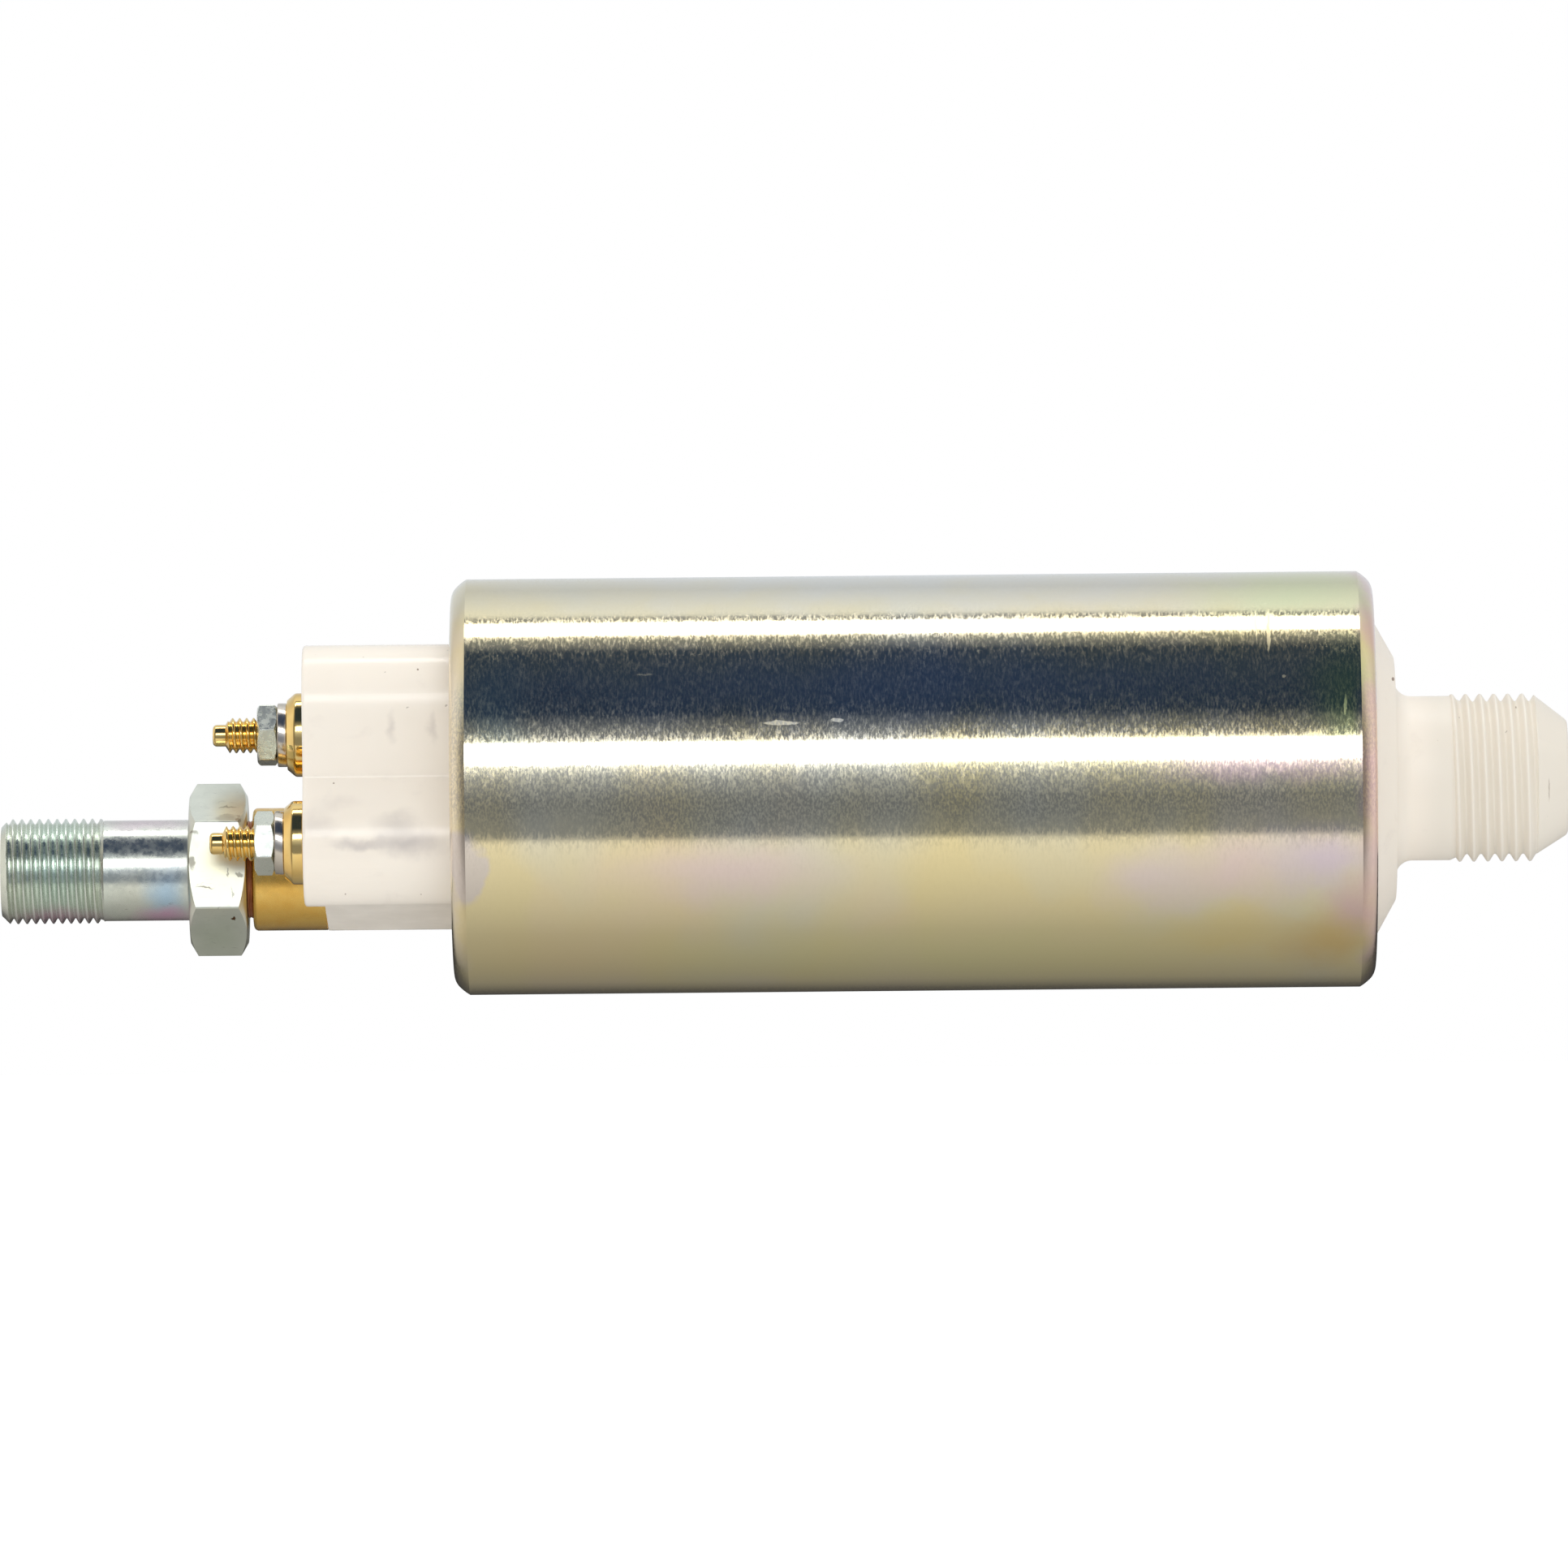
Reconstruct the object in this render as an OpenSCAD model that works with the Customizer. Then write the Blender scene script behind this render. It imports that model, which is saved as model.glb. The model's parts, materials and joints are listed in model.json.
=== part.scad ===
// Inline electric fuel pump: plated steel tube, two plastic end caps, screwed outlet fitting.
// The X axis is the pump's own axis, from the outlet end to the inlet end, and +Z is up.
// The origin lies on that axis, at the middle of the tube.

/* [Housing] */
// Outer diameter of the steel tube
housing_d = 47; // [44:0.5:52]
// Length of the steel tube
housing_len = 104; // [98:1:120]
// Wall of the steel tube
housing_wall = 1.5; // [1.2:0.1:1.8]
// Outer radius of both rolled rims
rim_radius = 2; // [1.6:0.1:2.4]
// Gap between the outlet cap's lobes and the rolled rim
outlet_rim_gap = 0.6; // [0.4:0.1:1.2]
// Gap between the inlet cap's cone and the rolled rim
inlet_rim_gap = 0.2; // [0.1:0.1:0.6]

/* [Outlet cap] */
// Length of the cap's lobes outside the tube
cap_reach = 16.7; // [12:0.1:20]
// How far the outlet boss is set back from the cap's face
boss_setback = 2.3; // [1:0.1:4]
// Radius of the two lobes round the terminals
terminal_lobe_r = 7.2; // [6.4:0.1:7.4]
// Radius of the plain upper lobe
corner_lobe_r = 7; // [6.4:0.1:7.2]
// Radius of the outlet boss
boss_r = 7; // [6.4:0.1:7.2]
// Distance of the plain upper lobe across from the pump's axis
corner_across = 6; // [5.6:0.1:6.2]
// Distance of the plain upper lobe above the pump's axis
corner_up = 9.15; // [8.8:0.05:9.4]
// Tilt of the wall below the plain lobe
upper_wall_tilt = 12; // [6:1:16]
// Tilt of the wall above the front lobe
lower_wall_tilt = 25; // [20:1:30]
// Thickness of the cap's inner wall
cap_wall = 4; // [3:0.1:5]
// Length of the cap's flange, inside the tube
cap_flange_len = 7; // [6:0.1:8]
// Length of the cap's skirt behind its flange
cap_skirt_len = 7.5; // [6:0.1:9]
// Wall of the cap's skirt
cap_skirt_wall = 3.4; // [2.6:0.1:3.8]

/* [Inlet cap] */
// Length of the cap's flange, inside the tube
inlet_flange_len = 6; // [5:0.1:8]
// Radius of the cap's cone where it leaves the rim
inlet_cone_base_r = 18; // [17:0.1:18.6]
// Radius of the cap's face
inlet_face_r = 13.6; // [12.5:0.1:15]
// How far the face stands out of the tube
inlet_face_out = 2.4; // [1.8:0.1:4]
// Radius of the plain neck
neck_r = 9.28; // [8.6:0.01:9.3]
// Fillet between face and neck
neck_fillet = 2.6; // [1:0.1:3]
// Length of the plain neck
neck_len = 6.2; // [4:0.1:10]
// Crest radius of the inlet thread
inlet_crest_r = 9.48; // [9.46:0.01:10]
// Depth of the inlet thread
inlet_thread_depth = 0.87; // [0.6:0.01:1]
// Pitch of the inlet thread
inlet_pitch = 1.5875; // [1.4:0.0125:1.8]
// Number of crests on the inlet thread
inlet_crests = 7; // [5:1:9]
// Length of the conical tip
inlet_cone_len = 3.45; // [2:0.05:5]
// Radius of the flat end of the tip
inlet_end_r = 6.3; // [5.4:0.1:7]
// Radius of the inlet bore
inlet_bore_r = 4.75; // [3.5:0.05:5]

/* [Terminals] */
// Distance of each terminal across from the pump's axis
terminal_across = 7; // [6.8:0.1:7.4]
// Distance of each terminal above or below the pump's axis
terminal_up = 6.1; // [5.6:0.1:6.3]
// Radius of the stud's base flange
flange_r = 4.75; // [4.3:0.05:5]
// Radius of the flange's outer face
flange_face_r = 4.02; // [3.7:0.02:4.2]
// Straight height of the flange
flange_height = 1.35; // [1:0.05:1.6]
// Height of the flange's slope
flange_slope = 0.85; // [0.5:0.05:1.2]
// Radius of the stud's thread over its crests
stud_crest_r = 2; // [1.9:0.01:2.1]
// Depth of the stud's thread
stud_thread_depth = 0.42; // [0.3:0.01:0.5]
// Pitch of the stud's thread
stud_pitch = 0.79375; // [0.7:0.01:0.85]
// Number of crests that stand out of the nut
stud_crests = 4; // [4:1:6]
// Radius of the dog point
dog_r = 1.23; // [1:0.01:1.3]
// Length of the dog point
dog_len = 1.9; // [1:0.1:2.4]
// Width of the terminal nuts across flats
nut_flats = 6.35; // [6:0.05:7]
// Thickness of the terminal nuts
nut_len = 2.28; // [2:0.02:3]
// Outer radius of the spring washers
spring_washer_r = 3.62; // [3.4:0.01:3.8]
// Thickness of the spring washers
spring_washer_len = 1.1; // [0.8:0.05:1.4]

/* [Outlet fitting] */
// Distance of the outlet across from the pump's axis
outlet_across = 6.8; // [6.6:0.1:7]
// Distance of the outlet below the pump's axis
outlet_down = 9.1; // [8.9:0.1:9.3]
// Length of the brass sleeve outside its boss
sleeve_reach = 8.45; // [6:0.05:10]
// Outer radius of the brass sleeve
sleeve_r = 6.95; // [6.6:0.01:7]
// Radius of the sleeve's stem inside the boss
sleeve_stem_r = 5.6; // [5.2:0.05:5.7]
// Length of the sleeve's stem
sleeve_stem_len = 10; // [8:0.1:11]
// Thickness of the copper sealing washer
seal_washer_len = 0.65; // [0.5:0.01:1]
// Outer radius of the copper sealing washer
seal_washer_r = 5.5; // [5.2:0.05:6]
// Width of the hexagon across flats
hex_flats = 17; // [16:0.1:18]
// Length of the hexagon
hex_len = 6.5; // [5:0.1:8]
// Radius of the plain shank
shank_r = 5.7; // [5.6:0.01:5.78]
// Length of the plain shank
shank_len = 9.7; // [8:0.1:14]
// Crest radius of the outlet thread
outlet_crest_r = 5.95; // [5.94:0.01:6]
// Depth of the outlet thread
outlet_thread_depth = 0.6; // [0.5:0.01:0.65]
// Pitch of the outlet thread
outlet_pitch = 1; // [0.9:0.05:1.25]
// Number of crests on the outlet thread
outlet_crests = 12; // [9:1:13]
// Length of the thread's end chamfer
outlet_chamfer = 0.9; // [0.6:0.1:1]
// Radius of the outlet port
port_r = 3.5; // [3.36:0.02:3.7]
// Radius of the check valve's chamber
chamber_r = 3.2; // [3:0.02:3.22]
// Radius of the bore that leads to the check valve
feed_r = 2.2; // [1.8:0.05:2.3]
// Crest radius of the fitting's own thread, inside the sleeve
stub_crest_r = 3.95; // [3.9:0.01:4.1]
// Length of the fitting's own thread
stub_len = 9.3; // [8:0.1:10]
// Travel of the check valve
valve_travel = 1.5; // [1:0.1:2]

/* [Motor] */
// Radius of the armature shaft
shaft_r = 2.5; // [2.3:0.05:2.6]
// Radius of both shaft bushes
bush_r = 4.5; // [4.2:0.1:5]
// Length of the outlet end's bush
outlet_bush_len = 5.8; // [4.5:0.1:6.4]
// Thickness of the field magnets
magnet_thick = 5.6; // [4.8:0.1:6]
// Angle that each field magnet spans
magnet_span = 136; // [120:2:150]
// Gap between armature and magnets
air_gap = 0.75; // [0.5:0.05:1]
// How far the magnets pass the laminations at each end
magnet_overhang = 5.5; // [3:0.1:6]
// Number of armature slots
slots = 8; // [6:1:10]
// Length of each winding head
winding_len = 6.6; // [5:0.1:7]
// Radius of the commutator
commutator_r = 12.4; // [12:0.1:12.8]
// Thickness of the commutator's copper segments
segment_len = 1.5; // [1:0.1:2]
// Thickness of the commutator's hub
commutator_hub_len = 3.6; // [3:0.1:4]
// Distance of the brushes from the pump's axis
brush_at = 9.3; // [9.1:0.1:9.6]
// Width of the brushes
brush_w = 4; // [3.6:0.1:4.2]
// Length of the brushes
brush_len = 7.6; // [6:0.1:7.8]
// Length that a brush stands out of its guide
brush_out = 2.6; // [2.2:0.1:3.4]
// How far a brush can be pushed back
brush_travel = 2; // [1:0.1:2.1]
// Radius of the choke cores
choke_r = 1.6; // [1.4:0.05:1.7]

/* [Pump] */
// Thickness of the outlet plate
outlet_plate_len = 5; // [4.5:0.1:6]
// Width of the rotor chamber
rotor_len = 9; // [7:0.1:10]
// Thickness of the inlet plate
inlet_plate_len = 9.5; // [9:0.1:10.5]
// Number of inward lobes of the outer rotor
rotor_lobes = 7; // [6:1:8]
// Radius on which the outer rotor's lobes lie
lobe_circle_r = 10; // [9.8:0.1:10.2]
// Radius of the outer rotor's lobes
lobe_r = 3; // [2.8:0.1:3.2]
// Distance between the two rotors' axes
rotor_offset = 1.1; // [0.9:0.05:1.15]
// Outer radius of the outer rotor
outer_rotor_r = 13; // [12.4:0.1:13.2]
// Distance of the pump screws from the edge of the pump's plates
screw_inset = 4; // [3.8:0.1:4.2]
// Radius of the pump screws
screw_r = 1.5; // [1.3:0.05:1.6]
// Radius of the relief valve's ball
relief_ball_r = 1.9; // [1.7:0.05:2]
// Travel of the relief valve
relief_travel = 0.8; // [0.5:0.1:1]

/* [Clearances] */
// Gap between pieces that are pressed or seated together
fit_gap = 0.03; // [0.02:0.01:0.05]
// Gap between a shaft and its bush
run_gap = 0.04; // [0.02:0.01:0.08]
// Gap round a sliding piece
slide_gap = 0.08; // [0.05:0.01:0.1]
// Gap between the rotors
rotor_gap = 0.06; // [0.04:0.01:0.08]

/* [Hidden] */
$fn = 96;
plastic = [0.95, 0.92, 0.86];
zinc = [0.75, 0.78, 0.79];
gold = [0.85, 0.66, 0.25];
steel = [0.66, 0.67, 0.69];
dark = [0.2, 0.2, 0.21];
copper = [0.72, 0.42, 0.25];
cut = 1;

// Places along the pump's axis, from the tube's ends inwards
tube_r = housing_d / 2;
tube_bore_r = tube_r - housing_wall;
tube_half = housing_len / 2;
lip_x = tube_half - housing_wall;
piece_r = tube_bore_r - fit_gap;
cap_x0 = -lip_x + fit_gap;
cap_wall_x = cap_x0 + cap_wall;
cap_flange_x = cap_x0 + cap_flange_len;
cap_skirt_x = cap_flange_x + cap_skirt_len;
face_x = -tube_half - cap_reach;
boss_x = face_x + boss_setback;
inlet_x1 = lip_x - fit_gap;
inlet_x0 = inlet_x1 - inlet_flange_len;
inlet_plate_x = inlet_x0 - inlet_plate_len;
rotor_x = inlet_plate_x - rotor_len;
outlet_plate_x = rotor_x - outlet_plate_len;

// Outlet cap outline, and the openings in the two rims
front_at = [-terminal_across, -terminal_up];
corner_at = [-corner_across, corner_up];
outlet_at = [outlet_across, -outlet_down];
rear_at = [terminal_across, terminal_up];
inlet_opening_r = inlet_cone_base_r + inlet_rim_gap;
outlet_opening_r = outlet_rim_gap + max(norm(outlet_at) + boss_r, norm(corner_at) + corner_lobe_r,
    norm(front_at) + terminal_lobe_r);

// Bush seat of the outlet cap, and the ledge that holds the brush holder
cap_boss_r = bush_r + 1.8;
skirt_ledge = 1.6;

// Seals: a round ring in a groove, touching neither wall
seal_r = 1;
groove_r = tube_bore_r - 2 * (seal_r + fit_gap);
groove_len = 2.6;
seal_shelf = 1.6;

// Terminals
stud_flange_x = face_x - flange_height;
stud_seat_x = stud_flange_x - flange_slope;
washer_x = stud_seat_x - spring_washer_len;
nut_x = washer_x - nut_len;
stud_thread_x = nut_x - stud_crests * stud_pitch;
stud_tip_x = stud_thread_x - dog_len;
stud_neck_r = 1.8;
stud_stem_r = 2.2;
stud_end_reach = 0.3;
stud_dog_round = 0.3;
stud_lead_angle = 59;
stud_end_x = cap_wall_x + stud_end_reach;
terminal_seal_len = 1.3;
terminal_seal_r = 3.5;
washer_bore_r = stud_crest_r + 0.12;
nut_bore_r = stud_crest_r + 0.06;
nut_turn_upper = 169.6;
nut_turn_lower = 146;
washer_slit = 0.5;
washer_slit_turn = 200;

// Outlet fitting
sleeve_x = boss_x - sleeve_reach;
sleeve_stem_x = boss_x + sleeve_stem_len;
sleeve_chamfer = 0.6;
hex_x1 = sleeve_x - seal_washer_len;
hex_x0 = hex_x1 - hex_len;
shank_x = hex_x0 - shank_len;
outlet_thread_len = (outlet_crests - 1) * outlet_pitch + outlet_pitch / 5;
outlet_thread_x = shank_x - outlet_thread_len;
tip_x = outlet_thread_x - outlet_pitch / 2;
stub_x = sleeve_x + stub_len;
stub_pitch = 1;
stub_depth = 0.55;
stub_gap = 0.06;
stub_relief = 1.2;
stub_crests = floor(stub_len) - 1;
sleeve_minor_r = stub_crest_r - stub_depth + stub_gap;
seat_wall = 2;
seat_x = hex_x1 - seat_wall;
poppet_gap = 0.6;
poppet_r = chamber_r - poppet_gap;
poppet_head_len = 2.4;
poppet_head_x = seat_x - fit_gap - poppet_head_len;
poppet_stem_r = 1;
poppet_stop_r = 1.35;
poppet_tip_gap = 0.8;
retainer_len = 2.4;
retainer_hole_r = 0.7;
retainer_holes = 3;
port_len = 9;
retainer_x1 = tip_x + port_len + retainer_len;
valve_coil_r = 1.85;
valve_wire_r = 0.3;
valve_turns = 6;
shank_relief = 0.4;
hex_turn = 145.2;
hex_end_inset = 0.15;
hex_chamfer_angle = 30;
hex_seam_turn = 10;

// Motor
holder_inset = 2.4;
holder_ledge_x = cap_flange_x + holder_inset;
holder_r = tube_bore_r - cap_skirt_wall - fit_gap;
holder_len = 2.5;
holder_vent_r = 3.3;
holder_vent_across = 12.9;
guide_gap = 1;
guide_x0 = cap_wall_x + guide_gap;
guide_wall = 0.9;
brush_spring_room = 6;
brush_coil_r = 1.5;
brush_wire_r = 0.25;
brush_turns = 5;
guide_x1 = guide_x0 + guide_wall + brush_spring_room + brush_travel + brush_len - brush_out;
commutator_x = guide_x1 + brush_out + slide_gap;
segment_x1 = commutator_x + segment_len;
segment_slit = 0.7;
commutator_x1 = segment_x1 + commutator_hub_len;
commutator_sleeve_r = shaft_r + 1.6;
commutator_recess = 0.4;
winding_gap = 0.9;
winding_x0 = commutator_x1 + winding_gap;
winding_corner = 2;
winding_inset = 1.4;
insulator_len = 0.8;
stack_x0 = winding_x0 + winding_len + insulator_len;
plate_boss_len = 4;
plate_boss_r = bush_r + 2.5;
plate_bore_gap = 0.3;
winding_end_gap = 2;
stack_x1 = outlet_plate_x - plate_boss_len - winding_end_gap - winding_len - insulator_len;
shaft_end_gap = 3;
shaft_tip_gap = 0.6;
shaft_x0 = cap_wall_x + shaft_end_gap;
shaft_x1 = inlet_plate_x - shaft_tip_gap;
bush_seat_gap = 0.8;
outlet_bush_x = shaft_x0 - bush_seat_gap;
pump_bush_x = outlet_plate_x - plate_boss_len + bush_seat_gap / 2;
pump_bush_len = outlet_plate_len + plate_boss_len - bush_seat_gap;
magnet_r1 = tube_bore_r - fit_gap;
magnet_r0 = magnet_r1 - magnet_thick;
stack_r = magnet_r0 - air_gap;
winding_r = stack_r - winding_inset;
shaft_flat = 0.7;
drive_len = 10.4;
slot_r0 = 6.2;
slot_mouth = 1.8;
pole_w = 3.4;
tip_len = 1.5;
slot_lining = 0.2;
clip_gap_angle = 1;
clip_thick = 0.8;
choke_end_gap = 0.6;
choke_coil_gap = 0.3;
choke_wire_r = 0.35;
choke_wire_gap = 0.15;
choke_coil_r = choke_r + choke_wire_r + choke_wire_gap;
choke_turns = 4;

// Rotors: the inner one has one lobe fewer, and meshes at rest along +Y
rotor_points = 180;
valley_crowding = 45;
inner_rotor_lobe_r = lobe_r + rotor_gap;
outer_rotor_root_gap = 0.1;
outer_rotor_root_r = lobe_circle_r - lobe_r + 2 * rotor_offset + outer_rotor_root_gap;
rotor_side_gap = 0.05;
port_in_r = 5.7;
port_out_r = 9;
port_half_angle = 68;
screw_at = tube_bore_r - screw_inset;
screw_head_r = screw_r + 1.1;
screw_head_len = 2;
screw_end_cover = 1;
screw_tip_gap = 0.2;
screw_socket_depth = 1.2;
screw_socket_r = 0.8 * screw_r;
first_screw_turn = 45;
screws = 4;
relief_at = [0, -screw_at];
relief_feed_r = 1.1;
relief_seat_len = 1.5;
relief_bore_r = relief_ball_r + slide_gap;
relief_spring_room = 1.7;
relief_coil_r = 1.3;
relief_wire_r = 0.22;
relief_turns = 3;
relief_plug_bore_r = 0.8;
relief_ball_x = inlet_plate_x + relief_seat_len + slide_gap
    + sqrt(pow(relief_ball_r, 2) - pow(relief_feed_r, 2));
relief_plug_x = relief_ball_x + relief_ball_r + relief_travel + relief_spring_room;

// Step between the last crest and the conical tip
inlet_cone_step = 0.3;

// Strainer in the inlet cap's chamber
strainer_pocket = 2.5;
strainer_r = 12;
strainer_len = 0.8;
strainer_hole_step = 2;
strainer_hole_r = 0.7;
strainer_rim = 1.6;

// Geometry helpers: local X becomes Y, local Y becomes Z, and local Z becomes X
module along_x(at = [0, 0], x = 0) translate([x, at[0], at[1]]) rotate([90, 0, 90]) children();
module turned(at = [0, 0]) along_x(at) rotate_extrude() children();
module rod(x0, x1, r, at = [0, 0]) along_x(at, x0) cylinder(h = x1 - x0, r = r);
module slab(x0, x1) along_x([0, 0], x0) linear_extrude(x1 - x0) children();
module band(x0, x1, r0, r1) translate([r0, x0]) square([r1 - r0, x1 - x0]);
module tube(x0, x1, r0, r1, at = [0, 0]) turned(at) band(x0, x1, r0, r1);
module slope(x0, x1, r0, r1) polygon([[0, x0], [r0, x0], [r1, x1], [0, x1]]);

// Thread outline as plain rings, so that its crests stay true cylinders
function thread_points(x, pitch, crests, crest_r, depth) =
    let (flat = pitch / 5, flank = pitch * 0.3)
    concat([for (i = [0 : crests - 1], side = [0 : 3])
        let (at = x + i * pitch)
        side == 0 ? [crest_r, at] :
        side == 1 ? [crest_r, at + flat] :
        side == 2 ? [crest_r - (i < crests - 1 ? depth : 0), at + flat + (i < crests - 1 ? flank : 0)] :
        [crest_r - (i < crests - 1 ? depth : 0), at + (i < crests - 1 ? pitch - flank : flat)]]);
module thread(x, pitch, crests, crest_r, depth) polygon(concat([[0, x]],
    thread_points(x, pitch, crests, crest_r, depth),
    [[0, x + (crests - 1) * pitch + pitch / 5]]));

// Outline of two discs with both outer tangents
function tangent_normal(a, b, ra, rb, side) =
    let (d = b - a, lean = acos((ra - rb) / norm(d)), turn = atan2(d[1], d[0]) + side * lean)
    [cos(turn), sin(turn)];
module tangent_web(a, b, ra, rb) {
    left = tangent_normal(a, b, ra, rb, 1);
    right = tangent_normal(a, b, ra, rb, -1);
    polygon([a + ra * left, b + rb * left, b + rb * right, a + ra * right]);
}
module disc(at, r) translate(at) circle(r = r);

// Hexagon with both ends chamfered, its first corner turned from +Y towards +Z
module hexagon(x, len, flats, turn, at) {
    corner_r = flats / sqrt(3);
    end_r = flats / 2 - hex_end_inset;
    drop = (corner_r - end_r) * tan(hex_chamfer_angle);
    along_x(at, x) rotate([0, 0, turn]) intersection() {
        cylinder(h = len, r = corner_r, $fn = 6);
        rotate([0, 0, hex_seam_turn]) rotate_extrude() polygon([[0, 0], [end_r, 0],
            [corner_r, drop], [corner_r, len - drop], [end_r, len], [0, len]]);
    }
}

// Round wire wound as a helix along +X, ends cut square
module coil(x0, x1, coil_r, wire_r, turns, at = [0, 0]) {
    steps = 10;
    sides = 6;
    last = round(turns * steps);
    climb = (x1 - x0 - 2 * wire_r) / last;
    ring_points = [for (i = [0 : last], k = [0 : sides - 1])
        let (turn = i * 360 / steps, lean = k * 360 / sides, reach = coil_r + wire_r * cos(lean))
        [x0 + wire_r + i * climb + wire_r * sin(lean),
            at[0] + reach * cos(turn), at[1] + reach * sin(turn)]];
    walls = [for (i = [0 : last - 1], k = [0 : sides - 1], half = [0, 1])
        let (a = i * sides + k, b = i * sides + (k + 1) % sides)
        half == 0 ? [a, b, a + sides] : [b, b + sides, a + sides]];
    ends = [for (k = [1 : sides - 2], far = [0, 1])
        far == 0 ? [0, k + 1, k] : [last * sides, last * sides + k, last * sides + k + 1]];
    polyhedron(points = ring_points, faces = concat(walls, ends));
}

module housing_tube() {
    color([0.8, 0.76, 0.6]) turned() difference() {
        union() {
            band(-tube_half + rim_radius, tube_half - rim_radius, tube_r - housing_wall, tube_r);
            band(-tube_half, tube_half, outlet_opening_r - cut, tube_r - rim_radius);
            for (side = [-1, 1]) translate([tube_r - rim_radius, side * (tube_half - rim_radius)])
                circle(r = rim_radius);
        }
        band(-lip_x, lip_x, 0, tube_bore_r);
        band(-tube_half - cut, 0, 0, outlet_opening_r);
        band(0, tube_half + cut, 0, inlet_opening_r);
    }
}

// Front part of the cap's outline: three lobes with a crease between the two front ones
module cap_outline_front() {
    upper_normal = [-cos(upper_wall_tilt), -sin(upper_wall_tilt)];
    lower_normal = [-cos(lower_wall_tilt), sin(lower_wall_tilt)];
    upper_reach = upper_normal * corner_at + corner_lobe_r;
    lower_reach = lower_normal * front_at + terminal_lobe_r;
    spread = upper_normal[0] * lower_normal[1] - upper_normal[1] * lower_normal[0];
    crease = [(upper_reach * lower_normal[1] - lower_reach * upper_normal[1]) / spread,
        (upper_normal[0] * lower_reach - lower_normal[0] * upper_reach) / spread];
    disc(corner_at, corner_lobe_r);
    disc(front_at, terminal_lobe_r);
    disc(rear_at, terminal_lobe_r);
    tangent_web(corner_at, rear_at, corner_lobe_r, terminal_lobe_r);
    tangent_web(front_at, rear_at, terminal_lobe_r, terminal_lobe_r);
    polygon([corner_at, corner_at + corner_lobe_r * upper_normal, crease,
        front_at + terminal_lobe_r * lower_normal, front_at, rear_at]);
}

module cap_outline_rear() {
    cap_outline_front();
    disc(outlet_at, boss_r);
    tangent_web(rear_at, outlet_at, terminal_lobe_r, boss_r);
    tangent_web(front_at, outlet_at, terminal_lobe_r, boss_r);
}

module cap_groove(x) band(x, x + groove_len, groove_r, tube_bore_r);

module outlet_end_cap() {
    color(plastic) difference() {
        union() {
            slab(face_x, boss_x + cut) cap_outline_front();
            slab(boss_x, cap_x0 + cut) cap_outline_rear();
            turned() difference() {
                union() {
                    band(cap_x0, cap_wall_x, 0, piece_r);
                    band(cap_x0, cap_skirt_x, holder_r - skirt_ledge, piece_r);
                    band(cap_x0, outlet_bush_x + outlet_bush_len, 0, cap_boss_r);
                }
                cap_groove(cap_x0 + seal_shelf);
                band(holder_ledge_x, cap_skirt_x + cut, holder_r - skirt_ledge - cut, holder_r + fit_gap);
                band(outlet_bush_x, cap_skirt_x, 0, bush_r + fit_gap);
            }
        }
        rod(face_x - cut, boss_x, sleeve_r + fit_gap, outlet_at);
        rod(boss_x - cut, sleeve_stem_x, sleeve_stem_r + fit_gap, outlet_at);
        rod(boss_x, cap_wall_x + cut, sleeve_minor_r, outlet_at);
        for (at = [front_at, rear_at]) {
            rod(face_x - cut, cap_wall_x + cut, stud_stem_r + fit_gap, at);
            rod(face_x - cut, face_x + terminal_seal_len, terminal_seal_r + fit_gap, at);
        }
    }
}

module inlet_end_cap() {
    face = tube_half + inlet_face_out;
    thread_x0 = face + neck_len;
    thread_x1 = thread_x0 + (inlet_crests - 1) * inlet_pitch + inlet_pitch / 5;
    color(plastic) turned() difference() {
        union() {
            band(inlet_x0, inlet_x1, 0, piece_r);
            slope(inlet_x1 - cut, tube_half, inlet_cone_base_r, inlet_cone_base_r);
            slope(tube_half, face, inlet_cone_base_r, inlet_face_r);
            band(face - cut, thread_x0 + cut, 0, neck_r);
            difference() {
                band(face - cut, face + neck_fillet, 0, neck_r + neck_fillet);
                translate([neck_r + neck_fillet, face + neck_fillet]) circle(r = neck_fillet);
            }
            thread(thread_x0, inlet_pitch, inlet_crests, inlet_crest_r, inlet_thread_depth);
            slope(thread_x1, thread_x1 + inlet_cone_len, inlet_crest_r - inlet_cone_step, inlet_end_r);
        }
        band(inlet_x0, thread_x1 + inlet_cone_len + cut, 0, inlet_bore_r);
        slope(inlet_x0 - cut, inlet_x0 + strainer_pocket, strainer_r + fit_gap, strainer_r + fit_gap);
        cap_groove(inlet_x1 - seal_shelf - groove_len);
    }
}

module cap_seal(x) {
    color(dark) turned() translate([groove_r + seal_r + fit_gap, x + groove_len / 2]) circle(r = seal_r);
}
module outlet_cap_seal() cap_seal(cap_x0 + seal_shelf);
module inlet_cap_seal() cap_seal(inlet_x1 - seal_shelf - groove_len);

module outlet_insert() {
    color(gold) turned(outlet_at) difference() {
        union() {
            slope(sleeve_x, sleeve_x + sleeve_chamfer, sleeve_r - sleeve_chamfer, sleeve_r);
            band(sleeve_x + sleeve_chamfer, boss_x - fit_gap, 0, sleeve_r);
            band(boss_x - cut, sleeve_stem_x - fit_gap, 0, sleeve_stem_r);
        }
        band(sleeve_x - cut, sleeve_stem_x + cut, 0, sleeve_minor_r);
        band(sleeve_x - cut, sleeve_x + stub_relief, 0, stub_crest_r + stub_gap);
        thread(sleeve_x + stub_relief, stub_pitch, stub_crests, stub_crest_r + stub_gap, stub_depth);
    }
}

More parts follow.
